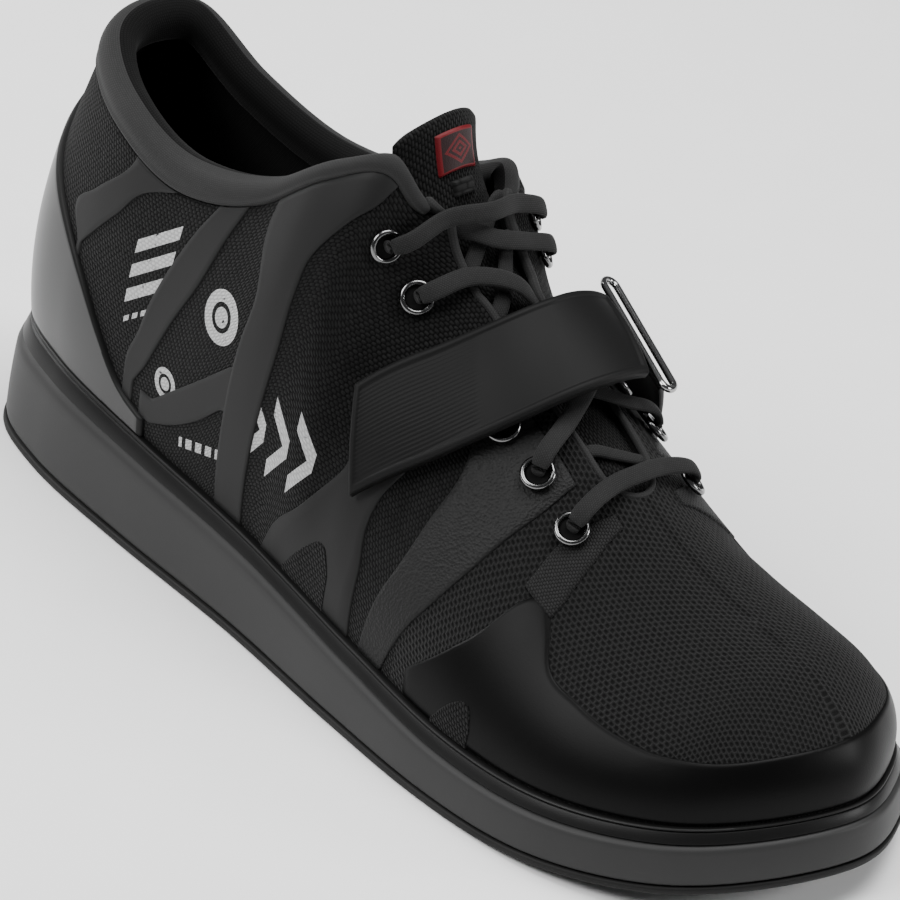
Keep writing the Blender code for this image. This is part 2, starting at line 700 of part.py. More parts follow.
def reach(name, rows, material, low_run, high_run, steps, tall, thickness=OVERLAY_THICKNESS):
    """Overlay read along the run; both sides of the shoe use the same rows."""
    run = np.linspace(low_run, high_run, steps)
    places = column(rows, "run")
    read = np.clip(1.0 - np.abs(1.0 - np.abs(run)), places[0], places[-1])
    low = smooth(places, column(rows, "low"), read)
    low = np.maximum(low, welt_line(run))
    high = smooth(places, column(rows, "high"), read)
    share = np.linspace(0.0, 1.0, tall)
    rises = low[:, None] + (high - low)[:, None] * share[None, :]
    runs = np.broadcast_to(run[:, None], rises.shape)
    return overlay(name, runs, rises, material, thickness)


def build_overlays():
    """Heel counter, toe rand and the bands of both sides."""
    shell = finish("heel counter moulding", (0.11, 0.11, 0.11), 0.25)
    rand = finish("toe rand", (0.02, 0.02, 0.021), 0.3)
    grey = finish("side band", (0.038, 0.038, 0.04), 0.55)
    reach("heel_counter", COUNTER, shell, -COUNTER[-1].run, COUNTER[-1].run,
          steps=37, tall=7, thickness=COUNTER_THICKNESS)
    reach("toe_rand", TOE_RAND, rand, TOE_RAND[0].run, 2.0 - TOE_RAND[0].run,
          steps=49, tall=5)
    for side, place in ((1.0, "lateral"), (-1.0, "medial")):
        band(f"heel_band_{place}", HEEL_BAND, grey, side, high=True)
        band(f"ankle_band_{place}", ANKLE_BAND, grey, side, high=True)
        band(f"saddle_{place}", SADDLE_BAND, grey, side, steps=15, across=6, high=True)
        band(f"strap_base_{place}", STRAP_BASE, grey, side, across=6)
        band(f"forefoot_band_{place}", FOREFOOT_BAND, grey, side)
        band(f"rand_arm_{place}", RAND_ARM, rand, side, steps=7)
    reach("saddle_arm_lateral", SADDLE_ARM, grey, SADDLE_ARM[0].run, SADDLE_ARM[-1].run,
          steps=8, tall=5)


# Tongue
# Above the instep the tongue stands clear of the flaps on its own centre line. Place goes
# on counting down from the run of the instep, and along and height are shares as before.
TongueRow = namedtuple("TongueRow", "name place along height width")
TONGUE_ROWS = (
    TongueRow("instep", 0.500, 0.505, 0.746, 1.00),
    TongueRow("lace top", 0.470, 0.465, 0.825, 0.97),
    TongueRow("cuff level", 0.440, 0.440, 0.915, 0.84),
    TongueRow("tip", 0.400, 0.423, 1.028, 0.84),
)
TONGUE_TOE = 0.715
TONGUE_DROP = UPPER_WALL + 0.45
TONGUE_THICKNESS = 4.0
TONGUE_SPREAD = 0.26
TONGUE_CROWN = 1.25
TONGUE_EDGE = 0.3
LABEL_THICKNESS = 0.8
KEEPER_THICKNESS = 1.2


def tongue_point(place, across, offset=0.0):
    """Point on the tongue: across is -1 at its outer side edge and 1 at its inner one."""
    across = np.asarray(across, float)
    run = max(place, TONGUE_ROWS[0].place)
    side = np.where(across > 0.0, -1.0, 1.0)
    rise = 1.0 - np.abs(across) * TONGUE_SPREAD
    depth = np.full(across.shape, offset - TONGUE_DROP)
    section = skin(side * run, rise, depth)
    if place >= TONGUE_ROWS[0].place:
        return section
    centre = skin(np.array([run]), np.array([1.0]), np.array([-TONGUE_DROP]))[0]
    before = skin(np.array([run + 0.02]), np.array([1.0]), np.array([-TONGUE_DROP]))[0]
    flat_centre = skin(side * run, rise, np.full(across.shape, -TONGUE_DROP))
    start = frame_along(centre - before)
    places = -column(TONGUE_ROWS, "place")
    x = along_x(column(TONGUE_ROWS, "along"))
    z = column(TONGUE_ROWS, "height") * CUFF_HEIGHT
    width = column(TONGUE_ROWS, "width")
    here = np.array([smooth(places, x, -place), centre[1], smooth(places, z, -place)])
    ahead = np.array([smooth(places, x, 0.01 - place), centre[1], smooth(places, z, 0.01 - place)])
    axes = frame_along(ahead - here)
    local = (flat_centre - centre) @ start.T
    local[:, 1] *= smooth(places, width, -place)
    return here + local @ axes + offset * axes[2]


def frame_along(direction):
    """Rows: along a centre line in the XZ plane, across it, and outwards."""
    ahead = np.array([direction[0], 0.0, direction[2]])
    ahead /= np.linalg.norm(ahead)
    across = np.array([0.0, 1.0, 0.0])
    outward = np.cross(ahead, across)
    if outward[2] < 0.0:
        outward = -outward
    return np.stack([ahead, across, outward])


def tongue_layer(places, across, offset):
    """Grid of points on the tongue."""
    return np.stack([tongue_point(place, across, offset) for place in places])


def build_tongue():
    """Padded tongue with its label and the lace keeper."""
    knit = finish("tongue knit", (0.026, 0.026, 0.028), 0.9)
    patch = finish("tongue label", (0.35, 0.05, 0.05), 0.45)
    tape = finish("lace keeper", (0.05, 0.05, 0.052), 0.7)
    instep, tip = TONGUE_ROWS[0].place, TONGUE_ROWS[-1].place
    places = np.concatenate([np.linspace(TONGUE_TOE, instep, 10),
                             np.linspace(instep, tip, 6)[1:]])
    across = np.linspace(-1.0, 1.0, 11)
    crown = TONGUE_THICKNESS * np.clip(TONGUE_CROWN - across**4, TONGUE_EDGE, 1.0)
    outer = tongue_layer(places, across, 0.0)
    below = tongue_layer(places, across, -TONGUE_THICKNESS)
    inner = outer + (below - outer) * (crown / TONGUE_THICKNESS)[None, :, None]
    layered("tongue", inner, outer, knit)
    for name, span, half, stand, skinny in (
            ("tongue_label", (0.438, 0.411), 0.42, LABEL_THICKNESS, patch),
            ("lace_keeper", (0.452, 0.443), 0.22, KEEPER_THICKNESS, tape)):
        rows = np.linspace(*span, 3)
        columns = np.linspace(-half, half, 5)
        layered(name, tongue_layer(rows, columns, SEAT_GAP),
                tongue_layer(rows, columns, SEAT_GAP + stand), skinny)


# Eyelets and laces
EyeletRow = namedtuple("EyeletRow", "run rise stand")
EYELETS = (
    EyeletRow(0.441, 0.850, 0.4), EyeletRow(0.475, 0.775, 1.17), EyeletRow(0.526, 0.735, 0.4),
    EyeletRow(0.578, 0.720, 1.9), EyeletRow(0.614, 0.720, 1.9), EyeletRow(0.649, 0.720, 1.9),
)
EYELET_OUTER = 4.6
EYELET_INNER = 3.0
EYELET_HEIGHT = 1.1
EYELET_CHAMFER = 0.3
EYELET_SIDES = 10


def surface_frame(run, rise, offset):
    """Point on the skin with its directions along the run, up the rise and outwards."""
    def read(a, b, c):
        return skin(np.array([a]), np.array([b]), np.array([c]))[0]
    point = read(run, rise, offset)
    ahead = read(run + 0.004, rise, offset) - point
    outward = read(run, rise, offset + 1.0) - point
    outward /= np.linalg.norm(outward)
    ahead -= outward * ahead.dot(outward)
    ahead /= np.linalg.norm(ahead)
    return point, ahead, np.cross(outward, ahead), outward


def build_eyelets():
    """Metal rings along both sides of the throat."""
    metal = finish("eyelet metal", (0.55, 0.55, 0.56), 0.25, 1.0)
    angles = 2.0 * np.pi * np.arange(EYELET_SIDES) / EYELET_SIDES
    for number, row in enumerate(EYELETS, start=1):
        for side, place in ((1.0, "lateral"), (-1.0, "medial")):
            centre, ahead, up, out = surface_frame(side * row.run, row.rise, row.stand)
            rings = []
            for angle in angles:
                way = ahead * np.cos(angle) + up * np.sin(angle)
                rings.append([centre + way * EYELET_INNER,
                              centre + way * EYELET_OUTER,
                              centre + way * (EYELET_OUTER - EYELET_CHAMFER) + out * EYELET_HEIGHT,
                              centre + way * (EYELET_INNER + EYELET_CHAMFER) + out * EYELET_HEIGHT])
            tube(f"eyelet_{number}_{place}", np.array(rings)[::-1], metal, closed=True)


# A lace goes from one side to the other. An end over an eyelet names its row; an end that
# dives under a flap gives the run of the throat edge. Level lifts the middle of the lace.
LaceRow = namedtuple("LaceRow", "name side start start_edge end end_edge level width")
LACES = (
    LaceRow("lace_top_bar", 1, 1, 0.455, 1, 0.455, 3.9, 5.0),
    LaceRow("lace_upper_lateral", 1, 2, 0.490, 0, 0.520, 2.4, 5.0),
    LaceRow("lace_upper_medial", -1, 2, 0.482, 0, 0.466, 2.8, 5.0),
    LaceRow("lace_under_top", 1, 0, 0.486, 0, 0.452, -1.9, 4.4),
    LaceRow("lace_under_second", 1, 0, 0.516, 0, 0.478, -1.5, 4.4),
    LaceRow("lace_lower_lateral", 1, 5, 0.604, 0, 0.575, 5.2, 5.0),
    LaceRow("lace_lower_medial", -1, 5, 0.604, 0, 0.570, 0.8, 5.0),
    LaceRow("lace_under_lower", 1, 0, 0.622, 0, 0.636, -2.4, 3.4),
    LaceRow("lace_bottom_bar", 1, 6, 0.645, 6, 0.645, 1.6, 5.0),
)
LACE_THICKNESS = 1.7
LACE_LIFT = 1.6
LACE_CHAMFER = 0.7
LACE_STATIONS = 10
THROAT_CROWN = 1.8
DIVE_IN = 0.42


def lace_end(side, row, edge):
    """Control points from one end of a lace to the throat, each with its way out."""
    top = throat_edge(side * edge)
    rim, _, _, rim_out = surface_frame(side * edge, top, 0.0)
    if row:
        eyelet = EYELETS[row - 1]
        lift = eyelet.stand + EYELET_HEIGHT + LACE_LIFT + LACE_THICKNESS / 2.0
        centre, _, _, out = surface_frame(side * eyelet.run, eyelet.rise, lift)
        return [(centre, out), (rim + rim_out * (LACE_LIFT + LACE_THICKNESS), rim_out)]
    return [(rim, rim_out)]


def build_laces():
    """Flat lace bars and crossings between the eyelet rows."""
    cord = finish("lace", (0.05, 0.05, 0.052), 0.8)
    for row in LACES:
        first = lace_end(row.side, row.start, row.start_edge)
        last = lace_end(-row.side, row.end, row.end_edge)[::-1]
        near, far = first[-1], last[0]
        out = near[1] + far[1]
        out /= np.linalg.norm(out)
        middle_run = (row.start_edge + row.end_edge) / 2.0
        rims = [surface_frame(s * middle_run, throat_edge(s * middle_run), 0.0)[0] for s in (1, -1)]
        middle = (rims[0] + rims[1]) / 2.0 + out * (THROAT_CROWN + row.level)
        if not row.start:
            first = [(near[0] + (middle - near[0]) * DIVE_IN, near[1])]
        if not row.end:
            last = [(far[0] + (middle - far[0]) * DIVE_IN, far[1])]
        chain = first + [(middle, out)] + last
        points = np.array([p for p, _ in chain])
        outs = np.array([o for _, o in chain])
        gaps = np.concatenate([[0.0], np.cumsum(np.linalg.norm(np.diff(points, axis=0), axis=1))])
        wanted = np.linspace(0.0, gaps[-1], LACE_STATIONS)
        path = np.stack([smooth(gaps, points[:, k], wanted) for k in range(3)], axis=1)
        turned = np.stack([smooth(gaps, outs[:, k], wanted) for k in range(3)], axis=1)
        ahead = np.gradient(path, axis=0)
        ahead /= np.linalg.norm(ahead, axis=1, keepdims=True)
        across = np.cross(turned, ahead)
        across /= np.linalg.norm(across, axis=1, keepdims=True)
        up = np.cross(ahead, across)
        half, thick = row.width / 2.0, LACE_THICKNESS / 2.0
        flat = half * LACE_CHAMFER
        section = ((half, 0.0), (flat, thick), (-flat, thick),
                   (-half, 0.0), (-flat, -thick), (flat, -thick))
        rings = np.stack([path + across * a + up * b for a, b in section], axis=1)
        tube(row.name, rings, cord)


# Strap over the instep. The two edges are read in the same way as the overlays: side is
# -1 + rise on the outer side, 0 on the ridge and 1 - rise on the inner side.
StrapRow = namedtuple("StrapRow", "name upper_run upper_side lower_run lower_side lift")
STRAP_ROWS = (
    StrapRow("tab end", 0.469, -0.46, 0.504, -0.67, 2.2),
    StrapRow("tab", 0.490, -0.37, 0.536, -0.54, 3.0),
    StrapRow("outer flap", 0.509, -0.27, 0.562, -0.42, 4.3),
    StrapRow("outer edge", 0.524, -0.15, 0.584, -0.29, 6.2),
    StrapRow("middle", 0.531, -0.02, 0.597, -0.15, 7.6),
    StrapRow("inner edge", 0.530, 0.12, 0.603, 0.00, 9.0),
    StrapRow("inner flap", 0.526, 0.26, 0.602, 0.15, 10.5),
)
ANCHOR_ROWS = (
    StrapRow("below the loop", 0.520, 0.395, 0.596, 0.295, 8.2),
    StrapRow("inner side", 0.510, 0.60, 0.585, 0.54, 3.4),
    StrapRow("above the welt", 0.500, 0.86, 0.570, 0.85, 1.95),
)
STRAP_THICKNESS = 2.2
STRAP_ARCH = 1.2
STRAP_STATIONS = 21
STRAP_COLUMNS = 7
ANCHOR_STATIONS = 11


def over(run, side, offset):
    """Point over the instep: negative sides lie on the outer half of the shoe."""
    signed = np.where(side > 0.0, -run, run)
    return skin(signed, 1.0 - np.abs(side), offset)


def strap_layer(rows, offset, stations=STRAP_STATIONS):
    """Grid of points on the strap, offset from its lower face."""
    places = np.linspace(0.0, 1.0, len(rows))
    wanted = np.linspace(0.0, 1.0, stations)
    read = {name: smooth(places, column(rows, name), wanted) for name in StrapRow._fields[1:]}
    upper = over(read["upper_run"], read["upper_side"], read["lift"] + offset)
    lower = over(read["lower_run"], read["lower_side"], read["lift"] + offset)
    share = np.linspace(0.0, 1.0, STRAP_COLUMNS)[None, :, None]
    arch = STRAP_ARCH * (1.0 - (2.0 * share - 1.0)**2)
    flat = upper[:, None, :] * (1.0 - share) + lower[:, None, :] * share
    middle = over((read["upper_run"] + read["lower_run"]) / 2.0,
                  (read["upper_side"] + read["lower_side"]) / 2.0, read["lift"] + offset + 1.0)
    under = over((read["upper_run"] + read["lower_run"]) / 2.0,
                 (read["upper_side"] + read["lower_side"]) / 2.0, read["lift"] + offset)
    return flat + (middle - under)[:, None, :] * arch


# Wire loop that the strap runs through
LOOP_STAND = 4.6
LOOP_OVERHANG = 6.0
LOOP_HALF = 2.8
LOOP_WIRE = 1.0
LOOP_STEPS = 9
WIRE_SIDES = 6


def build_strap():
    """Instep strap with its wire loop and the anchor on the inner side."""
    web = finish("strap", (0.045, 0.045, 0.047), 0.6)
    metal = finish("strap loop metal", (0.6, 0.6, 0.6), 0.2, 1.0)
    layered("strap", strap_layer(STRAP_ROWS, 0.0), strap_layer(STRAP_ROWS, STRAP_THICKNESS), web)
    layered("strap_anchor", strap_layer(ANCHOR_ROWS, 0.0, ANCHOR_STATIONS),
            strap_layer(ANCHOR_ROWS, STRAP_THICKNESS, ANCHOR_STATIONS), web)
    edge = strap_layer(STRAP_ROWS, STRAP_THICKNESS / 2.0)[-1]
    before = strap_layer(STRAP_ROWS, STRAP_THICKNESS / 2.0)[-3]
    ahead = (edge - before).mean(axis=0)
    ahead /= np.linalg.norm(ahead)
    across = edge[-1] - edge[0]
    width = np.linalg.norm(across)
    across /= width
    middle = edge.mean(axis=0) + ahead * LOOP_STAND
    half_long = width / 2.0 + LOOP_OVERHANG
    rings = []
    out = np.cross(across, ahead)
    for end, start_angle in ((1.0, -90.0), (-1.0, 90.0)):
        for turn in np.radians(start_angle + np.linspace(0.0, 180.0, LOOP_STEPS)):
            way = across * np.cos(turn) + ahead * np.sin(turn)
            point = middle + across * end * (half_long - LOOP_HALF) + way * LOOP_HALF
            rings.append([point + (way * np.cos(a) + out * np.sin(a)) * LOOP_WIRE
                          for a in 2.0 * np.pi * np.arange(WIRE_SIDES) / WIRE_SIDES])
    tube("strap_loop", np.array(rings)[::-1], metal, closed=True)


build_sole()
build_upper()
build_cuff()
build_overlays()
build_tongue()
build_eyelets()
build_laces()
build_strap()
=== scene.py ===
# %% [markdown]
# # A weightlifting shoe
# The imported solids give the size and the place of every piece. This file dresses them: each
# piece is made again with finer curves, soft edges and its own finish. Everything on the
# upper is read from one function, the skin, so bands, eyelets and laces always lie on it.

from collections import namedtuple

import bmesh
import bpy
import numpy as np
from mathutils import Matrix, Vector


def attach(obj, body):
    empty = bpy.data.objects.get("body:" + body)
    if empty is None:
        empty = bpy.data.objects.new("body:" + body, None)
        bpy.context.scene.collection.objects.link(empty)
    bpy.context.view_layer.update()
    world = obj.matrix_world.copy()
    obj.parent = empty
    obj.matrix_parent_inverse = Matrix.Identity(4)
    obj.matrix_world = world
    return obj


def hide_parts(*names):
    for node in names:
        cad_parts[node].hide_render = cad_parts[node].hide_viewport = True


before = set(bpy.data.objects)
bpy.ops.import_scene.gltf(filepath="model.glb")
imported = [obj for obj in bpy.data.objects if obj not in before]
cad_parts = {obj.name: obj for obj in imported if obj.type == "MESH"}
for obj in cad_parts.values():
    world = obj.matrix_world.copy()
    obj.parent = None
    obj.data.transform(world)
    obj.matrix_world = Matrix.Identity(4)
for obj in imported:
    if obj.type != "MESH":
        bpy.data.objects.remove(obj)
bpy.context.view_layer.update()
METRE = 1000.0
SIDES = ((1.0, "lateral"), (-1.0, "medial"))
print("nodes in the frame:", len(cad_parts))

# %% [markdown]
# A few helpers serve every cell: tables with named columns, which read like a maker's
# drawing, and the length, direction and travel of vectors, which NumPy spells out at length.

# %% Small helpers
def table(columns, *rows):
    """Short table whose rows have named columns."""
    kind = namedtuple("Row", columns)
    return [kind(*row) for row in rows]


def column(rows, name):
    """One named column of a table as an array."""
    return np.array([getattr(row, name) for row in rows], dtype=float)


def size_of(vectors):
    """Length of each vector."""
    return np.linalg.norm(vectors, axis=-1)


def unit(vectors):
    """Each vector at length 1."""
    return vectors / np.linalg.norm(vectors, axis=-1, keepdims=True)


def travelled(points):
    """Way from the first of some points to each of them."""
    return np.concatenate([[0.0], np.cumsum(size_of(np.diff(points, axis=0)))])


def circle(count):
    """Angles of a full turn in equal steps."""
    return 2.0 * np.pi * np.arange(count) / count


def in_scene(name, data):
    """New object in the scene."""
    made = bpy.data.objects.new(name, data)
    bpy.context.scene.collection.objects.link(made)
    return made


# %% [markdown]
# The camera stands where the photographer stood: in front of the outer side, above the shoe
# and far away with a long lens, so the shoe hardly narrows with distance. A roll of the
# camera tips the picture, which is simpler and truer than tipping the shoe off its floor.

# %% Camera
CAMERA_TURN = 43.59
CAMERA_RAISE = 31.03
CAMERA_ROLL = -8.28
CAMERA_PLACE = (3.73, 46.97, 1886.0)
CAMERA_AIM_X = 4.0
LENS = 294.4


def camera_axes(turn, raise_, roll):
    """Rows to the right, up and back of a camera."""
    a, e, r = np.radians([turn, raise_, roll])
    right = np.array([np.cos(a), np.sin(a), 0.0])
    back = np.array([np.sin(a) * np.cos(e), -np.cos(a) * np.cos(e), np.sin(e)])
    up = np.cross(back, right)
    return np.stack([np.cos(r) * right - np.sin(r) * up, np.sin(r) * right + np.cos(r) * up, back])


axes = camera_axes(CAMERA_TURN, CAMERA_RAISE, CAMERA_ROLL)
place = axes.T @ np.array(CAMERA_PLACE) + np.array([CAMERA_AIM_X, 0.0, 0.0])
camera = in_scene("camera", bpy.data.cameras.new("camera"))
camera.data.lens = LENS
camera.data.sensor_width = 36.0
camera.data.sensor_fit = "HORIZONTAL"
camera.data.clip_end = 50.0
camera.matrix_world = Matrix.Translation(Vector(place / METRE)) @ Matrix(axes.T).to_4x4()
bpy.context.scene.camera = camera
print("camera at", np.round(place, 1))

# %% [markdown]
# The shoe is measured in millimetres from the floor under its middle: X to the toe, Y to the
# inner side of the foot, Z up. A few driving sizes come first. The two tables give the
# outline of the sole and the top edge of the upper, a row for each section, because a shoe
# is drawn on its last in the same way, from section to section.

# %% Driving sizes
LENGTH = 297.0
BALL_WIDTH = 110.0
CUFF_HEIGHT = 134.5
HEEL_STACK = 27.0
FOREFOOT_STACK = 13.2
OUTSOLE_THICKNESS = 2.2
TOE_SPRING = 9.7
SPRING_START = 0.70
UPPER_WALL = 2.6
SEAT_GAP = 0.3
SOLE_EDGE = 0.8
SIDEWALL_INSET = 0.5
SIDEWALL_FLARE = 1.5
WELT_LEDGE = 2.3
WELT_THICKNESS = 2.4
WELT_HEIGHT = 4.0
HEEL_WELT_RISE = 3.0
HEEL_WELT_END = 0.45
FEATHER_INSET = SIDEWALL_INSET + SIDEWALL_FLARE + WELT_LEDGE + WELT_THICKNESS + SEAT_GAP
INSOLE_THICKNESS = 4.0
INSOLE_CLEARANCE = 0.5
THROAT_TOP = 0.425
THROAT_END = 0.655
THROAT_HALF_GAP = 10.5
THROAT_END_GAP = 8.0
TOE_POLE = 0.81
TOE_FALL = -0.14

# %% Section tables
# Along is a share of the length from the heel, outer and inner are shares of the ball width
# from the centre line, and drop is the share of the heel lift already lost.
SOLE_ROWS = table(
    "place along outer inner drop",
    ("heel back", 0.000, 0.000, 0.000, 0.00),
    ("heel curve", 0.037, 0.253, 0.255, 0.01),
    ("heel side", 0.122, 0.355, 0.362, 0.05),
    ("heel front", 0.251, 0.397, 0.366, 0.16),
    ("waist", 0.415, 0.424, 0.341, 0.37),
    ("joint rear", 0.567, 0.473, 0.407, 0.68),
    ("ball", 0.699, 0.500, 0.500, 0.95),
    ("toe shoulder", 0.820, 0.475, 0.509, 1.00),
    ("toe corner", 0.918, 0.354, 0.438, 1.00),
    ("toe curve", 0.974, 0.161, 0.275, 1.00),
    ("toe tip", 1.000, -0.082, 0.082, 1.00),
)

# Run is the share of the half outline. Height is a share of the cuff height and dip lowers
# the inner side. Heading is the way inwards in degrees, lean tilts the wall at its top, and
# bulge, lift and reach shape it in millimetres. Cuff is the rise where the padding begins.
UPPER_ROWS = table(
    "place run along outer inner height dip heading lean bulge lift reach cuff",
    ("heel back", 0.000, 0.059, 0.000, 0.000, 0.900, 0.00, 0, 16, 7.0, 36, 28, 0.870),
    ("heel turn", 0.090, 0.079, 0.145, 0.145, 0.878, 0.00, 38, 14, 7.0, 36, 28, 0.875),
    ("heel side", 0.170, 0.143, 0.232, 0.200, 0.833, 0.05, 76, 12, 6.0, 34, 26, 0.875),
    ("ankle low", 0.260, 0.244, 0.259, 0.245, 0.799, 0.07, 90, 12, 5.0, 30, 24, 0.870),
    ("ankle front", 0.330, 0.338, 0.241, 0.250, 0.866, 0.09, 90, 22, 5.0, 30, 30, 0.910),
    ("cuff rise", 0.380, 0.402, 0.209, 0.240, 0.970, 0.11, 90, 32, 5.0, 32, 34, 0.935),
    ("cuff corner", 0.415, 0.443, 0.145, 0.210, 1.000, 0.09, 90, 40, 5.0, 34, 36, 0.950),
    ("throat top", 0.445, 0.460, 0.073, 0.180, 0.907, 0.04, 90, 55, 5.0, 34, 34, 0.960),
    ("lace rise", 0.470, 0.476, -0.018, 0.127, 0.833, 0.00, 90, 72, 5.5, 34, 30, 1.000),
    ("lace start", 0.500, 0.510, -0.073, 0.073, 0.766, 0.00, 90, 90, 6.0, 34, 26, 1.000),
    ("instep", 0.560, 0.574, -0.073, 0.073, 0.680, 0.00, 90, 90, 6.0, 30, 23, 1.000),
    ("low instep", 0.620, 0.655, -0.064, 0.064, 0.599, 0.00, 90, 90, 6.0, 27, 22, 1.000),
    ("vamp", 0.660, 0.715, -0.055, 0.055, 0.524, 0.00, 90, 90, 6.0, 24, 23, 1.000),
    ("toe break", 0.720, 0.783, -0.064, 0.064, 0.454, 0.00, 90, 90, 6.0, 20, 24, 1.000),
    ("toe box", 0.770, 0.837, -0.073, 0.073, 0.420, 0.00, 90, 90, 6.0, 18, 26, 1.000),
    ("toe top", TOE_POLE, 0.877, -0.082, 0.082, 0.401, 0.00, 90, 90, 6.0, 17, 26, 1.000),
    ("toe corner", 0.870, 0.877, -0.082, 0.082, 0.401, 0.00, 118, 90, 6.0, 17, 22, 1.000),
    ("toe curve", 0.935, 0.877, -0.082, 0.082, 0.401, 0.00, 150, 90, 6.0, 17, 18, 1.000),
    ("toe tip", 1.000, 0.877, -0.082, 0.082, 0.401, 0.00, 180, 90, 6.0, 17, 16, 1.000),
)

# %% [markdown]
# A smooth curve through table rows is the ruler for every shape. `around` joins the outer
# and inner side into one closed loop, so the heel and the toe have no seam.

# %% Reading the tables
def along_x(share):
    """Place along the shoe for a share of its length from the heel."""
    return (share - 0.5) * LENGTH


def smooth(places, values, wanted):
    """Smooth curve through table values, read at the wanted places."""
    wanted = np.asarray(wanted, dtype=float)
    tangent = np.gradient(values, places)
    cell = np.clip(np.searchsorted(places, wanted, side="right") - 1, 0, len(places) - 2)
    step = places[cell + 1] - places[cell]
    t = (wanted - places[cell]) / step
    start = 2 * t**3 - 3 * t**2 + 1
    leave = t**3 - 2 * t**2 + t
    end = 3 * t**2 - 2 * t**3
    arrive = t**3 - t**2
    return (start * values[cell] + leave * step * tangent[cell]
            + end * values[cell + 1] + arrive * step * tangent[cell + 1])


def smooth_points(places, points, wanted):
    """Smooth curve through points."""
    return np.stack([smooth(places, points[:, k], wanted) for k in range(points.shape[1])], axis=1)


def looped(values):
    """Row of values with its neighbours round the loop at both ends."""
    return np.concatenate([[values[-2]], values, [values[1]]])


def around(rows, lateral, medial):
    """Both sides of a table as one loop: medial runs are negative, the heel back is 0."""
    run = column(rows, "run")
    places = np.concatenate([-run[:0:-1], run])
    places = np.concatenate([[places[-2] - 2.0], places, [places[1] + 2.0]])
    return places, looped(np.concatenate([medial[:0:-1], lateral]))


# %% Outline and heights of the sole
OUTLINE_STEPS = 24


def outline_loop():
    """Fine closed outline of the sole and the signed run of each of its points."""
    x = along_x(column(SOLE_ROWS, "along"))
    outer = -column(SOLE_ROWS, "outer") * BALL_WIDTH
    inner = column(SOLE_ROWS, "inner") * BALL_WIDTH
    last = len(SOLE_ROWS) - 1
    corners = np.stack([looped(np.concatenate([x[:0:-1], x])),
                        looped(np.concatenate([inner[:0:-1], outer]))], axis=1)
    fine = np.linspace(-last, last, 2 * last * OUTLINE_STEPS + 1)
    points = smooth_points(np.arange(-last - 1.0, last + 2.0), corners, fine)
    lengths = travelled(points)
    middle = len(fine) // 2
    run = np.where(np.arange(len(fine)) < middle,
                   lengths / lengths[middle] - 1.0,
                   (lengths - lengths[middle]) / (lengths[-1] - lengths[middle]))
    return run, points


OUTLINE_RUN, OUTLINE_POINTS = outline_loop()
HALF_OUTLINE = size_of(np.diff(OUTLINE_POINTS, axis=0)).sum() / 2.0


def sole_edge(run, inset):
    """Point of the outline at a signed run, moved inwards by the inset."""
    def read(place):
        place = (place + 1.0) % 2.0 - 1.0
        return np.stack([np.interp(place, OUTLINE_RUN, OUTLINE_POINTS[:, axis])
                         for axis in (0, 1)], axis=-1)

    run = np.asarray(run, dtype=float)
    step = 0.004
    ahead = unit(read(run + step) - read(run - step))
    return read(run) + np.stack([-ahead[..., 1], ahead[..., 0]], axis=-1) * inset


def spring(x):
    """Rise of the sole towards the toe."""
    share = x / LENGTH + 0.5
    return TOE_SPRING * (np.clip(share - SPRING_START, 0.0, None) / (1.0 - SPRING_START))**2


def stack(x):
    """Height of the top of the sidewall above the floor, toe spring included."""
    share = np.clip(x / LENGTH + 0.5, 0.0, 1.0)
    drop = smooth(column(SOLE_ROWS, "along"), column(SOLE_ROWS, "drop"), share)
    return HEEL_STACK - (HEEL_STACK - FOREFOOT_STACK) * drop + spring(x)


def welt_top(x):
    """Height of the top of the welt."""
    heel = np.clip(1.0 - (x / LENGTH + 0.5) / HEEL_WELT_END, 0.0, 1.0)
    return stack(x) + WELT_HEIGHT + HEEL_WELT_RISE * heel


# %% [markdown]
# The skin is the outer face of the upper. Each section is one Bezier curve from the feather
# edge, where upper and sole meet, to the top edge or the ridge of the foot. A point on it has
# a run, from 0 at the heel to 1 at the toe and negative on the inner side, and a rise from 0
# to 1. Boxes bent by hand would not join so smoothly at the heel and toe.

# %% The skin of the upper
def upper_values(name, run):
    """Column of the upper table at signed runs."""
    values = column(UPPER_ROWS, name)
    return smooth(*around(UPPER_ROWS, values, values), run)


def top_edge(run):
    """Guide of the top edge, or of the ridge where the two sides meet."""
    run = np.clip(run, -TOE_POLE, TOE_POLE)
    outer = -column(UPPER_ROWS, "outer") * BALL_WIDTH
    inner = column(UPPER_ROWS, "inner") * BALL_WIDTH
    height = column(UPPER_ROWS, "height")
    low = height - column(UPPER_ROWS, "dip")
    return np.stack([along_x(upper_values("along", run)),
                     smooth(*around(UPPER_ROWS, outer, inner), run),
                     smooth(*around(UPPER_ROWS, height, low), run) * CUFF_HEIGHT], axis=-1)


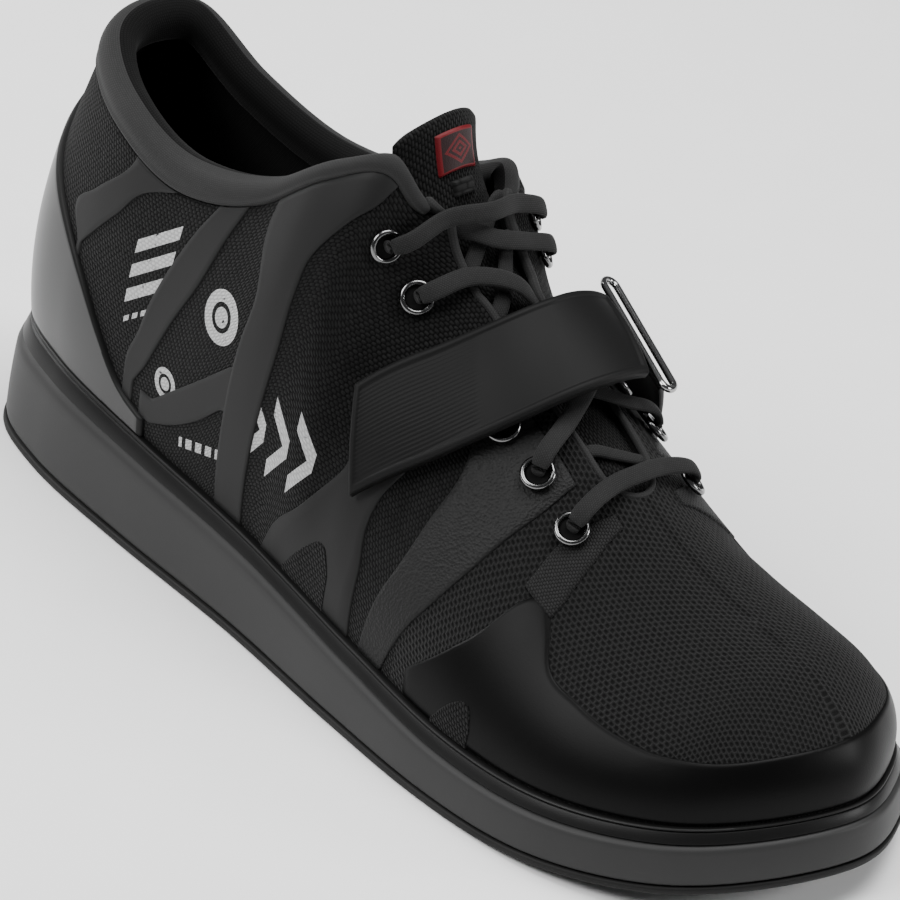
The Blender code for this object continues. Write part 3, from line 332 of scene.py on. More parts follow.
def skin_base(run, rise):
    """Outer face of the upper: rise 0 is the feather edge and 1 the guide of the top edge."""
    run, rise = np.broadcast_arrays(np.asarray(run, float), np.asarray(rise, float))
    run = (run + 1.0) % 2.0 - 1.0
    foot = sole_edge(run, FEATHER_INSET)
    foot = np.concatenate([foot, (stack(foot[..., 0]) + SEAT_GAP)[..., None]], axis=-1)
    top = top_edge(run)
    heading = np.radians(upper_values("heading", np.abs(run)))
    side = np.where(run < 0.0, -1.0, 1.0)
    inward = np.stack([np.cos(heading), side * np.sin(heading), 0.0 * run], axis=-1)
    lean = np.radians(upper_values("lean", run))
    arrive = inward.copy()
    arrive[..., 2] = inward[..., 0] * TOE_FALL
    arrive = arrive * np.sin(lean)[..., None]
    arrive[..., 2] += np.cos(lean)
    low = foot - inward * upper_values("bulge", run)[..., None]
    low[..., 2] += upper_values("lift", run)
    high = top - arrive * upper_values("reach", run)[..., None]
    t = rise[..., None]
    return ((1 - t)**3 * foot + 3 * (1 - t)**2 * t * low
            + 3 * (1 - t) * t**2 * high + t**3 * top)


# %% [markdown]
# Cloth over a last is never quite even: it swells a little between the stitched bands and
# has soft troughs where the foot bends. The table lists these, and the skin moves
# out or in by their depth, so everything sewn onto it moves along.

# %% Soft troughs and ridges
CREASES = table(
    "place run rise along across depth",
    ("swell behind saddle", 0.330, 0.52, 0.030, 0.22, 0.5),
    ("swell at ankle", 0.225, 0.62, 0.030, 0.20, 0.5),
    ("swell by eyelets", 0.450, 0.62, 0.030, 0.22, 0.7),
    ("fold under strap", 0.478, 0.36, 0.016, 0.26, -0.8),
    ("flex trough", 0.548, 0.52, 0.011, 0.24, -0.6),
    ("flex ridge", 0.585, 0.55, 0.016, 0.22, 0.6),
    ("toe break", 0.690, 0.70, 0.018, 0.20, -0.5),
    ("toe crown", 0.790, 0.82, 0.060, 0.16, 0.4),
)


def relief(run, rise):
    """Millimetres that the cloth stands out from the plain last, alike on both sides."""
    run = np.minimum(1.0 - np.abs(1.0 - np.abs(run)), TOE_POLE)
    total = np.zeros(np.broadcast(run, rise).shape)
    for row in CREASES:
        rows = [np.exp(-((at - row.rise) / row.across)**2) for at in (rise, 2.0 - rise)]
        total = total + row.depth * np.exp(-((run - row.run) / row.along)**2) * sum(rows)
    return total * np.clip(rise / 0.12, 0.0, 1.0)


def skin(run, rise, offset=0.0):
    """Point on the skin of the upper, creases included, moved outwards by the offset."""
    run, rise = np.broadcast_arrays(np.asarray(run, float), np.asarray(rise, float))
    step = 0.003
    ahead = skin_base(run + step, rise) - skin_base(run - step, rise)
    upward = skin_base(run, rise + step) - skin_base(run, np.clip(rise - step, 0.0, None))
    outward = np.cross(ahead, upward)
    outward[(np.abs(run) >= TOE_POLE) & (rise > 0.9995)] = (-TOE_FALL, 0.0, 1.0)
    moved = np.asarray(offset, float) + relief(run, rise)
    return skin_base(run, rise) + unit(outward) * moved[..., None]


# %% [markdown]
# Other pieces need places on the skin: where it leaves the welt, where the padding of the
# cuff begins, and where the throat is cut. They are measured on the skin itself, so they
# still fit when a size changes.

# %% Places on the skin
WELT_CLEARANCE = 0.9
CUFF_CLEARANCE = 0.8
THROAT_TURN = THROAT_END - THROAT_END_GAP / HALF_OUTLINE
THROAT_RIDGE = 0.073
THROAT_MEETS_RIDGE = 0.5
RISE_SAMPLES = np.linspace(0.5, 1.0, 101)
CUFF_END = 0.4455
CUFF_RAMP = (0.4475, 0.4525)


def rise_at(run, height):
    """Rise at which the skin reaches a height, for each of some runs."""
    samples = np.linspace(0.0, 0.3, 31)
    rows = skin_base(run[:, None], samples[None, :])
    return np.array([np.interp(goal, row[:, 2], samples) for goal, row in zip(height, rows)])


def foot_x(run):
    """Place along the shoe of the feather edge."""
    return sole_edge(run, FEATHER_INSET)[:, 0]


def welt_line(run):
    """Rise at which the skin leaves the welt, for each of some runs."""
    return rise_at(run, welt_top(foot_x(run)) + WELT_CLEARANCE)


def cuff_line(run, clearance=-CUFF_CLEARANCE):
    """Rise that lies some millimetres above the foot of the cuff, for each of some runs."""
    low = upper_values("cuff", run)
    return low + (1.0 - low) * clearance / size_of(skin_base(run, 1.0) - skin_base(run, low))


def throat_gap(run):
    """Half width of the throat at a run, closing in a half round at its toe end."""
    run = np.abs(run)
    share = np.clip((run - THROAT_TOP) / (THROAT_END - THROAT_TOP), 0.0, 1.0)
    width = THROAT_HALF_GAP + (THROAT_END_GAP - THROAT_HALF_GAP) * share
    turn = np.clip((run - THROAT_TURN) / (THROAT_END - THROAT_TURN), 0.0, 1.0)
    return width * np.sqrt(np.clip(1.0 - turn**2, 0.0, 1.0))


def throat_edge(run):
    """Rise at which the skin is cut for the throat, for one signed run."""
    if abs(run) >= THROAT_END:
        return 1.0
    side = 1.0 if run >= 0.0 else -1.0
    across = skin_base(run, RISE_SAMPLES)[:, 1]
    ridge = THROAT_RIDGE * BALL_WIDTH if abs(run) < THROAT_MEETS_RIDGE else across[-1]
    wanted = (ridge - side * throat_gap(run)) * side
    across = across * side
    return 1.0 if across[-1] <= wanted else float(np.interp(wanted, across, RISE_SAMPLES))


def upper_top(run):
    """Rise of the top edge of the upper's own wall at one signed run."""
    top = throat_edge(run)
    cuff = float(upper_values("cuff", run))
    share = np.clip((abs(run) - CUFF_RAMP[0]) / (CUFF_RAMP[1] - CUFF_RAMP[0]), 0.0, 1.0)
    return cuff + (top - cuff) * share


def surface_frame(run, rise, offset):
    """Point on the skin with its directions along the run, up the rise and outwards."""
    point = skin(run, rise, offset)
    ahead = skin(run + 0.004, rise, offset) - point
    outward = unit(skin(run, rise, offset + 1.0) - point)
    ahead = unit(ahead - outward * ahead.dot(outward))
    return point, ahead, np.cross(outward, ahead), outward


# %% [markdown]
# Woven cloth needs coordinates that follow the cloth. `weave_place` unrolls the skin: one
# number runs along the shoe and the other down from the ridge, both in millimetres. Round the
# toe they turn about one pole, as the real cloth is pulled over the toe in one piece.

# %% Unrolling the skin
GRID_RUN = np.linspace(-1.0, 1.0, 401)
GRID_RISE = np.linspace(0.0, 1.0, 61)
grid_points = skin_base(GRID_RUN[:, None], GRID_RISE[None, :])
grid_steps = size_of(np.diff(grid_points, axis=1))
GRID_DOWN = np.concatenate(
    [np.cumsum(grid_steps[:, ::-1], axis=1)[:, ::-1], np.zeros((len(GRID_RUN), 1))], axis=1)
GRID_ALONG = travelled(grid_points[200:, 30])


def weave_place(run, rise):
    """Millimetres along and across the cloth for places on the skin."""
    run, rise = np.broadcast_arrays(np.asarray(run, float), np.asarray(rise, float))
    run = (run + 1.0) % 2.0 - 1.0
    at_run = (run + 1.0) / 2.0 * (len(GRID_RUN) - 1)
    at_rise = np.clip(rise, 0.0, 1.0) * (len(GRID_RISE) - 1)
    i = np.clip(at_run.astype(int), 0, len(GRID_RUN) - 2)
    j = np.clip(at_rise.astype(int), 0, len(GRID_RISE) - 2)
    a, b = at_run - i, at_rise - j
    down = ((1 - a) * (1 - b) * GRID_DOWN[i, j] + a * (1 - b) * GRID_DOWN[i + 1, j]
            + (1 - a) * b * GRID_DOWN[i, j + 1] + a * b * GRID_DOWN[i + 1, j + 1])
    side = np.where(run < 0.0, -1.0, 1.0)
    flat = np.interp(np.minimum(np.abs(run), TOE_POLE), GRID_RUN[200:], GRID_ALONG)
    angle = np.radians(180.0 - upper_values("heading", np.abs(run)))
    toe = np.abs(run) > TOE_POLE
    return np.stack([np.where(toe, flat + down * np.cos(angle), flat),
                     np.where(toe, side * down * np.sin(angle), side * down)], axis=-1)


print("the skin is", round(float(GRID_ALONG[-1]), 1), "mm long from heel to toe")

# %% [markdown]
# Every piece ends in the same few steps: a mesh from points, soft shading, cloth coordinates,
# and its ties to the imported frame. One helper keeps the later cells short.

# %% Making a piece
def piece(name, points, faces, finishes, nodes, slot, weave=None, sharp=None, picks=None):
    """Object from millimetre points that stands for the named nodes."""
    mesh = bpy.data.meshes.new(name)
    mesh.from_pydata((np.reshape(points, (-1, 3)) / METRE).tolist(), [], faces)
    mesh.shade_smooth()
    if sharp is not None:
        mesh.set_sharp_from_angle(angle=np.radians(sharp))
    if weave is not None:
        layer = mesh.uv_layers.new(name="weave")
        corner = np.zeros(len(mesh.loops), dtype=np.int32)
        mesh.loops.foreach_get("vertex_index", corner)
        flat = np.reshape(weave, (-1, 2)).astype(np.float32)
        layer.data.foreach_set("uv", flat[corner].ravel())
    for finish in finishes:
        mesh.materials.append(finish)
    if picks is not None:
        mesh.polygons.foreach_set("material_index", np.asarray(picks, np.int32))
    made = in_scene(name, mesh)
    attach(made, "root")
    if nodes:
        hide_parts(*nodes)
    print(name, len(mesh.polygons), "faces")
    return made


def weld(made):
    """Joins points that lie on each other."""
    edit = bmesh.new()
    edit.from_mesh(made.data)
    bmesh.ops.remove_doubles(edit, verts=edit.verts, dist=1e-6)
    edit.to_mesh(made.data)
    edit.free()


def grid_faces(count, rows, ring=False, first=0):
    """Faces of a grid whose points run up each of its columns."""
    faces = []
    for i in range(count if ring else count - 1):
        here, after = first + i * rows, first + (i + 1) % count * rows
        faces += [(here + j, after + j, after + j + 1, here + j + 1) for j in range(rows - 1)]
    return faces


def flipped_grid(count, rows):
    """Faces of a grid that look to its other side."""
    return [tuple(reversed(face)) for face in grid_faces(count, rows)]


def spread(first, second):
    """Cloth coordinates of a grid from its two rows of numbers."""
    return np.stack(np.broadcast_arrays(first[:, None], second[None, :]), axis=-1)


# %% [markdown]
# ## Finishes
# Weave, grain and wear return on many materials, so each is a node group with named inputs,
# built once. The groups only put out masks and heights; every material mixes its own colours
# with them. Pictures of cloth could be used too, but nodes stay sharp at any distance. Node
# sums get long when every Math node is spelled out, so a small class lets them be written
# with the usual signs.

# %% Node helpers
class Signal:
    """Output of a node, so that sums of nodes read like ordinary ones."""

    def __init__(self, node, output=0):
        self.tree, self.socket = node.id_data, node.outputs[output]

    def __add__(self, other):
        return math("ADD", self, other)

    def __sub__(self, other):
        return math("SUBTRACT", self, other)

    def __mul__(self, other):
        return math("MULTIPLY", self, other)

    def __truediv__(self, other):
        return math("DIVIDE", self, other)

    def __gt__(self, other):
        return math("GREATER_THAN", self, other)

    def __lt__(self, other):
        return math("LESS_THAN", self, other)

    def __abs__(self):
        return math("ABSOLUTE", self)


def feed(socket, value):
    """Links a signal to an input, or sets the input to a value."""
    if isinstance(value, Signal):
        value.tree.links.new(value.socket, socket)
    else:
        socket.default_value = value


def add(tree, kind, inputs=(), **settings):
    """Node with its settings, and with its inputs given by name or number."""
    made = tree.nodes.new("ShaderNode" + kind)
    for key, value in settings.items():
        setattr(made, key, value)
    for key, value in dict(inputs).items():
        feed(made.inputs[key], value)
    return made


def math(operation, *values):
    """Result of one Math node."""
    tree = next(value.tree for value in values if isinstance(value, Signal))
    return Signal(add(tree, "Math", enumerate(values), operation=operation))


def between(share, low, high, start=0.0, end=1.0, **settings):
    """Number that goes from low to high as the share goes from start to end."""
    return Signal(add(share.tree, "MapRange", {
        "Value": share, "From Min": start, "From Max": end, "To Min": low, "To Max": high},
        **settings))


def noise(place, scale, detail=2.0, roughness=0.5):
    """Soft noise."""
    return Signal(add(place.tree, "TexNoise", {
        "Vector": place, "Scale": scale, "Detail": detail, "Roughness": roughness}))


def split(place):
    """The three numbers of a place."""
    made = add(place.tree, "SeparateXYZ", {"Vector": place})
    return [Signal(made, axis) for axis in range(3)]


def joined(x, y, tree):
    """Place from two numbers."""
    return Signal(add(tree, "CombineXYZ", {"X": x, "Y": y}))


# %% Groups for weave, grain and wear
def group(name, build, **inputs):
    """Shader group with a vector input called Place, number inputs and what build gives."""
    tree = bpy.data.node_groups.new(name, "ShaderNodeTree")
    tree.interface.new_socket("Place", in_out="INPUT", socket_type="NodeSocketVector")
    for label, value in inputs.items():
        made = tree.interface.new_socket(label, in_out="INPUT", socket_type="NodeSocketFloat")
        made.default_value = value
    given = tree.nodes.new("NodeGroupInput")
    results = build(*[Signal(given, label) for label in ("Place", *inputs)])
    for label in results:
        tree.interface.new_socket(label, in_out="OUTPUT", socket_type="NodeSocketFloat")
    out = tree.nodes.new("NodeGroupOutput")
    for label, value in results.items():
        feed(out.inputs[label], value)
    print("node group:", name)
    return tree


def weave_nodes(place, length, width, unevenness):
    """Rows of short raised threads, each row shifted by half a thread."""
    x, y, _ = split(place)
    shift = (noise(place, 0.7) - 0.5) * unevenness
    row = y / width + (shift + 0.5)
    odd = math("FLOORED_MODULO", math("FLOOR", row), 2.0) * 0.5
    thread = x / length + odd + shift
    waves = [math("SUBTRACT", 1.0, math("POWER", abs((math("FRACT", value) - 0.5) * 2.0), 2.0))
             for value in (row, thread)]
    height = waves[0] * waves[1]
    cell = joined(math("FLOOR", thread), math("FLOOR", row), place.tree)
    speck = add(place.tree, "TexWhiteNoise", {"Vector": cell})
    return {"Height": height, "Hole": between(height, 0.0, 1.0, 0.28, 0.05),
            "Fleck": Signal(speck, "Value")}


def grain_nodes(place, size):
    """Fine skin or moulding grain with a slow mottle over it."""
    scale = math("DIVIDE", METRE, size)
    cells = Signal(add(place.tree, "TexVoronoi", {"Vector": place, "Scale": scale}), "Distance")
    return {"Height": cells * 0.6 + noise(place, scale, 3.0) * 0.4,
            "Mottle": noise(place, 38.0, 4.0)}


def scuff_nodes(place, amount, reach):
    """Thin streaks and rubbed spots, more of them near the floor."""
    long = Signal(add(place.tree, "VectorMath", {0: place, 1: (70.0, 70.0, 420.0)},
                      operation="MULTIPLY"))
    low = between(split(place)[2], 0.0, 1.0, reach, 0.0)
    return {"Streak": between(noise(long, 1.0, 5.0, 0.7), 0.0, 1.0, 0.62, 0.75) * amount,
            "Dust": low * noise(place, 60.0, 5.0) * amount}


WEAVE = group("Woven threads", weave_nodes, Length=2.4, Width=1.5, Unevenness=0.25)
GRAIN = group("Fine grain", grain_nodes, Size=0.5)
SCUFFS = group("Scuffs", scuff_nodes, Amount=0.5, Reach=0.05)

# %% [markdown]
# Three recipes make all the finishes. Cloth has raised threads over a dark ground. Mouldings
# and coated sheets have grain, streaks and a little dust. Metal is polished with fine marks.
# Relief this fine is bump, because real threads in the mesh would cost millions of faces.

# %% Recipes for the finishes
def grey(level, warm=0.0):
    """Colour of a grey level, in linear light."""
    return (level * (1.0 + warm), level, level * (1.0 - warm), 1.0)


def set_inputs(shader, **values):
    """Gives inputs of a shader a signal or a constant."""
    for label, value in values.items():
        feed(shader.inputs[label.replace("_", " ")], value)


def start_finish(name, **fixed):
    """Material, its shader with constant values set, and the place on the object."""
    made = bpy.data.materials.new(name)
    made.use_nodes = True
    shader = made.node_tree.nodes["Principled BSDF"]
    set_inputs(shader, **fixed)
    return made, shader, Signal(add(made.node_tree, "TexCoord"), "Object")


def cloth_place(tree):
    """Millimetres along and across the cloth."""
    return Signal(add(tree, "UVMap", uv_map="weave"))


def use_group(tree, place, **values):
    """Outputs of a node group placed in a material."""
    made = add(place.tree, "Group", {}, node_tree=tree)
    for label, value in {"Place": place, **values}.items():
        feed(made.inputs[label], value)
    return {socket.name: Signal(made, socket.name) for socket in made.outputs}


def blend(share, first, second):
    """Colour between two colours or signals."""
    return Signal(add(share.tree, "Mix", {0: share, 6: first, 7: second}, data_type="RGBA"), 2)


def raise_by(shader, height, depth):
    """Bump of a depth in millimetres."""
    bump = add(height.tree, "Bump", {"Height": height, "Distance": depth / METRE})
    feed(shader.inputs["Normal"], Signal(bump))


def woven(name, low, high, length, width, depth, roughness=0.8, uneven=0.25, fleck=0.55,
          start=0.12):
    """Cloth of raised threads over a dark ground."""
    made, shader, spot = start_finish(name, Sheen_Weight=0.04, Sheen_Roughness=0.5,
                                      Specular_IOR_Level=0.10)
    threads = use_group(WEAVE, cloth_place(spot.tree), Length=length, Width=width,
                        Unevenness=uneven)
    mottle = use_group(GRAIN, spot, Size=0.35)
    raised = between(threads["Height"], 0.0, 1.0, start, start + 0.6,
                     interpolation_type="SMOOTHSTEP")
    tone = raised * between(threads["Fleck"], fleck, 1.0) * between(mottle["Mottle"], 0.75, 1.2)
    set_inputs(shader, Base_Color=blend(tone, grey(low), grey(high)),
               Roughness=between(threads["Hole"], roughness, 1.0))
    raise_by(shader, threads["Height"] + mottle["Height"] * 0.25, depth)
    return made


def moulded(name, level, size, depth, roughness, coat=0.0, coat_roughness=0.2, wear=0.4,
            reach=0.05, dusty=0.12, specular=0.16):
    """Moulded or coated surface with grain, scuffs and a little dust near the floor."""
    made, shader, spot = start_finish(name, Coat_Weight=coat, Coat_Roughness=coat_roughness,
                                      Specular_IOR_Level=specular)
    grain = use_group(GRAIN, spot, Size=size)
    scuffs = use_group(SCUFFS, spot, Amount=wear, Reach=reach)
    tone = blend(grain["Mottle"], grey(level * 0.82), grey(level * 1.18))
    tone = blend(scuffs["Streak"], tone, grey(level * 1.9 + 0.004))
    worn = between(grain["Mottle"], roughness - 0.07, roughness + 0.07)
    set_inputs(shader, Base_Color=blend(scuffs["Dust"] * dusty, tone, grey(0.35, 0.04)),
               Roughness=worn + scuffs["Streak"] * 0.2)
    raise_by(shader, grain["Height"], depth)
    return made


def metal(name, level, roughness):
    """Polished metal with fine turning marks."""
    made, shader, spot = start_finish(name, Metallic=1.0)
    grain = use_group(GRAIN, spot, Size=0.4)
    set_inputs(shader, Base_Color=blend(grain["Mottle"], grey(level * 0.7), grey(level)),
               Roughness=between(grain["Mottle"], roughness - 0.05, roughness + 0.1))
    raise_by(shader, grain["Height"], 0.01)
    return made


# %% [markdown]
# The side knit carries a plain printed emblem. It is drawn by sums in the view from the outer
# side, because coordinates that follow the cloth would bend its straight bars.

# %% Printed emblem
# Along is measured like X and up like Z, in millimetres. A bar is cut into dashes where its
# dash is not 0.
EMBLEM_RINGS = table("along up radius pitch", (-49.5, 78.0, 7.6, 4.4), (-66.0, 50.0, 4.4, 3.0))
STRIPES = [(-80.0, up, 7.0, 1.9, 0.75, 0.0) for up in (84.0, 77.0, 70.0)]
ARROWS = [(along, up, 3.5, 2.6, slope, 0.0) for along in (-29.0, -20.0, -11.5)
          for up, slope in ((62.0, -1.3), (53.0, 1.3))]
EMBLEM_BARS = table("along up half_long half_wide slope dash", *STRIPES,
                    (-80.0, 63.0, 7.0, 0.8, 0.75, 3.0), *ARROWS,
                    (-47.0, 40.5, 11.0, 1.5, 0.30, 4.0))


def emblem_nodes(place):
    """Printed emblem of plain stripes, rings and arrows on the outer side."""
    metres_x, metres_y, metres_z = split(place)
    spot = joined(metres_x * METRE, metres_z * METRE, place.tree)
    x, y, _ = split(spot)
    marks = []
    for row in EMBLEM_RINGS:
        shifted = Signal(add(place.tree, "VectorMath", {0: spot, 1: (row.along, row.up, 0.0)},
                             operation="SUBTRACT"))
        far = Signal(add(place.tree, "VectorMath", {0: shifted}, operation="LENGTH"), "Value")
        wave = math("SINE", far * (2.0 * np.pi / row.pitch))
        marks.append((wave > -0.6) * (far < row.radius))
    for row in EMBLEM_BARS:
        across = x - row.along
        lean = abs(y - row.up - across * row.slope)
        mark = (abs(across) < row.half_long) * (lean < row.half_wide)
        if row.dash:
            mark = mark * (math("SINE", across * (2.0 * np.pi / row.dash)) > -0.35)
        marks.append(mark)
    ink = marks[0]
    for mark in marks[1:]:
        ink = math("MAXIMUM", ink, mark)
    kept = between(noise(spot, 0.55, 4.0), 0.0, 1.0, 0.28, 0.36)
    return {"Ink": ink * (metres_y < 0.0) * kept}


EMBLEM = group("Printed emblem", emblem_nodes)


def printed_knit(name, low, high, length, width, depth):
    """Side knit whose raised threads carry the printed emblem."""
    made = woven(name, low, high, length, width, depth, uneven=0.5)
    shader = made.node_tree.nodes["Principled BSDF"]
    spot = Signal(add(made.node_tree, "TexCoord"), "Object")
    threads = use_group(WEAVE, cloth_place(spot.tree), Length=length, Width=width, Unevenness=0.5)
    cover = use_group(EMBLEM, spot)["Ink"] * between(threads["Height"], 0.7, 1.0)
    plain = Signal(shader.inputs["Base Color"].links[0].from_node, 2)
    set_inputs(shader, Base_Color=blend(cover, plain, grey(0.46)))
    return made


# %% [markdown]
# A pale plain floor and four square lamps light the shoe softly, as in a studio: a large one
# from above for the gloss, the key over the outer side, and two low ones that draw a bright
# line along the heel and the toe. One bright sky would be simpler, but black surfaces only
# show their shape by the lamps they mirror.

# %% Floor and light
floor_finish, floor_shader, floor_spot = start_finish("pale floor", Specular_IOR_Level=0.2)
floor_mottle = use_group(GRAIN, floor_spot, Size=2.0)["Mottle"]
set_inputs(floor_shader, Base_Color=blend(floor_mottle, grey(0.93), grey(0.96)),
           Roughness=between(floor_mottle, 0.6, 0.8))
FLOOR_HALF = 6.0
floor_mesh = bpy.data.meshes.new("floor")
floor_mesh.from_pydata([(x * FLOOR_HALF, y * FLOOR_HALF, 0.0)
                        for x, y in ((-1, -1), (1, -1), (1, 1), (-1, 1))], [], [(0, 1, 2, 3)])
floor_mesh.materials.append(floor_finish)
floor = in_scene("floor", floor_mesh)

LIGHTS = table(
    "name x y z size power",
    ("key over the outer side", -0.30, -1.00, 1.15, 0.8, 22.0),
    ("heel side", -1.10, -0.20, 0.50, 0.5, 9.0),
    ("toe side", 1.00, 0.80, 0.55, 0.4, 10.0),
    ("top", 0.10, 0.25, 1.40, 0.9, 24.0),
)
for row in LIGHTS:
    lamp = in_scene(row.name, bpy.data.lights.new(row.name, "AREA"))
    lamp.data.shape = "SQUARE"
    lamp.data.size = row.size
    lamp.data.energy = row.power
    lamp.location = (row.x, row.y, row.z)
    aim = Vector((0.0, 0.0, 0.04)) - lamp.location
    lamp.rotation_euler = aim.to_track_quat("-Z", "Y").to_euler()
world = bpy.data.worlds.new("studio")
world.use_nodes = True
set_inputs(world.node_tree.nodes["Background"], Color=(0.93, 0.94, 0.96, 1.0), Strength=0.14)
bpy.context.scene.world = world
print("lights:", len(LIGHTS))

# %% [markdown]
# ## Sole
# The sole is three layers with one outline: a thin black outsole, the grey sidewall that
# drops from the raised heel to the forefoot, and the dark welt with a raised bead, which
# holds the upper. Each is a stack of rings read from the outline, the way a lofted hull is
# made. A swept profile would do as well, but rings let every height follow the heel's slope.

# %% Rings of the sole
SOLE_STATIONS = 460
SOLE_RUNS = -1.0 + 2.0 * np.arange(SOLE_STATIONS) / SOLE_STATIONS


def level(inset, height):
    """Ring of the sole at an inset, with its height from a rule of x."""
    flat = sole_edge(SOLE_RUNS, inset)
    return np.concatenate([flat, np.asarray(height(flat[:, 0]))[:, None]], axis=1)


def slab(name, levels, finish, node, slot, sharp=35.0):
    """Solid through rings from bottom to top, closed with strips across."""
    points = np.stack(levels, axis=1)
    count, rows = points.shape[:2]
    faces = grid_faces(count, rows, ring=True)
    half, top = count // 2, rows - 1
    for j in range(1, half - 1):
        near, far = j * rows, (count - j) * rows
        faces.append((near, far, far - rows, near + rows))
        faces.append((near + top, near + rows + top, far - rows + top, far + top))
    for a, b, c in ((0, count - 1, 1), (half - 1, half + 1, half)):
        faces += [(a * rows, b * rows, c * rows), (a * rows + top, c * rows + top, b * rows + top)]
    return piece(name, points, faces, [finish], [node], slot, weave=points[..., :2], sharp=sharp)


def rounded(inset, low, high, corner, steps=4):
    """Insets and heights of an edge that is rounded below and above."""
    turn = np.linspace(0.0, np.pi / 2.0, steps)
    down = [(inset + corner * (1.0 - np.sin(t)), low + corner * (1.0 - np.cos(t))) for t in turn]
    up = [(inset + corner * (1.0 - np.cos(t)), high - corner * (1.0 - np.sin(t))) for t in turn]
    return down + up


# %% Outsole and sidewall
outsole_finish = moulded("outsole rubber", 0.006, 0.6, 0.03, 0.6, wear=0.4, reach=0.012,
                         dusty=0.1)
sidewall_finish = moulded("sidewall moulding", 0.026, 0.45, 0.015, 0.5, wear=0.15, dusty=0.05)
outsole_levels = [level(inset, lambda x: spring(x) + height)
                  for inset, height in rounded(0.0, 0.0, OUTSOLE_THICKNESS, 0.8)]
slab("outsole_layer", outsole_levels, outsole_finish, "outsole", "outsole_rubber")
base = OUTSOLE_THICKNESS + 0.1
shoulder = SIDEWALL_INSET + SIDEWALL_FLARE
sidewall_levels = []
for share in [0.0, 0.015, 0.04, 0.08, *np.linspace(0.15, 0.88, 9), 0.93, 0.97, 0.99, 1.0]:
    foot_round = 0.9 * (1.0 - min(share / 0.08, 1.0))**2
    top_round = 1.6 * max((share - 0.88) / 0.12, 0.0)**2
    lean = SIDEWALL_INSET + (SIDEWALL_FLARE - 0.2) * share - 0.35 * np.sin(np.pi * share)
    sidewall_levels.append(level(
        lean + foot_round + top_round,
        lambda x: spring(x) + base + (stack(x) - spring(x) - base) * share))
slab("sidewall", sidewall_levels, sidewall_finish, "midsole", "midsole_moulding")

# %% [markdown]
# The welt has a slanted face, a groove and a thin bead. Its section is a short table, carried
# round the sole, and its inner side lies against the skin of the upper. The bead is a little
# lighter than the welt, a painted highlight along its edge.

# %% Welt
welt_finish = moulded("welt rubber", 0.0045, 0.4, 0.015, 0.42, wear=0.15, dusty=0.04)
# Painted highlight: the bead's lighter grey stands for the light along its edge; its streaks and dust
# are wear.
bead_highlight_finish = moulded("welt bead", 0.011, 0.4, 0.01, 0.42, wear=0.15, dusty=0.03)
WELT_PROFILE = table(
    "place inwards up",
    ("foot", 0.00, 0.00), ("foot edge", 0.05, 0.06), ("face", 0.75, 0.36),
    ("face top", 1.35, 0.66), ("groove side", 1.60, 0.72), ("groove", 1.95, 0.76),
    ("bead foot", 1.75, 0.80), ("bead side", 1.50, 0.86), ("bead", 1.62, 0.93),
    ("bead top", 2.00, 0.97), ("crown", 2.60, 1.00),
)
BEAD_HIGHLIGHT_ROWS = (6, 9)


def welt_height(x, share):
    """Height at a share of the welt."""
    low = stack(x) + SEAT_GAP
    return low + (welt_top(x) - low) * share


def welt_seat(share, gap):
    """Inner ring of the welt, against the upper."""
    height = welt_height(foot_x(SOLE_RUNS), share)
    wall = skin(SOLE_RUNS, rise_at(SOLE_RUNS, height), gap)
    wall[:, 2] = height
    return wall


welt_rings = [level(shoulder + SOLE_EDGE + row.inwards, lambda x: welt_height(x, row.up))
              for row in WELT_PROFILE] + [welt_seat(share, 0.05) for share in (1.0, 0.5, 0.0)]
welt_rows = len(welt_rings)
welt_faces = grid_faces(SOLE_STATIONS, welt_rows, ring=True)
for i in range(SOLE_STATIONS):
    here, after = i * welt_rows, (i + 1) % SOLE_STATIONS * welt_rows
    welt_faces.append((here + welt_rows - 1, after + welt_rows - 1, after, here))
# The bead rows take the lighter finish, which is the painted highlight.
bead_highlight_picks = [int(BEAD_HIGHLIGHT_ROWS[0] <= k % (welt_rows - 1) < BEAD_HIGHLIGHT_ROWS[1])
              for k in range(SOLE_STATIONS * (welt_rows - 1))] + [0] * SOLE_STATIONS
piece("welt_band", np.stack(welt_rings, axis=1), welt_faces, [welt_finish, bead_highlight_finish], ["welt"],
      "welt_rubber", sharp=50.0, picks=bead_highlight_picks)

# %% [markdown]
# The insole is a loose sock lining on the sidewall, a little smaller than the inside.

# %% Insole
insole_finish = woven("sock lining", 0.002, 0.006, 1.2, 1.0, 0.12)
insole_edge = FEATHER_INSET + UPPER_WALL + INSOLE_CLEARANCE
insole_levels = [level(insole_edge + inset, lambda x: stack(x) + SEAT_GAP + height)
                 for inset, height in rounded(0.0, 0.0, INSOLE_THICKNESS, 0.9)]
slab("sock_lining", insole_levels, insole_finish, "insole", "insole_fabric")

# %% [markdown]
# ## Upper
# The upper is a hollow boot of mesh cloth, pulled over the last. One fine grid gives its
# outside, the rim round the openings and the smooth lining inside. A plane wrapped by a
# modifier could follow the last too, but a grid keeps the throat's edge where it belongs. The
# toe has a coarser weave than the sides, so the faces choose between two cloths by place.

# %% Upper shell
side_mesh_finish = printed_knit("side knit", 0.0004, 0.0085, 1.5, 1.05, 0.25)
toe_mesh_finish = woven("toe mesh", 0.0125, 0.0003, 1.8, 1.3, -0.4, uneven=0.35,
                        fleck=0.9, start=0.22)
lining_finish = woven("smooth lining", 0.0012, 0.003, 0.8, 0.8, 0.06)
TOE_MESH_START = 0.58


def turn_runs(steps):
    """Runs round the toe end of the throat, closer together to its tip."""
    quarter = np.radians(np.linspace(0.0, 90.0, steps)[1:])
    return THROAT_TURN + (THROAT_END - THROAT_TURN) * np.sin(quarter)


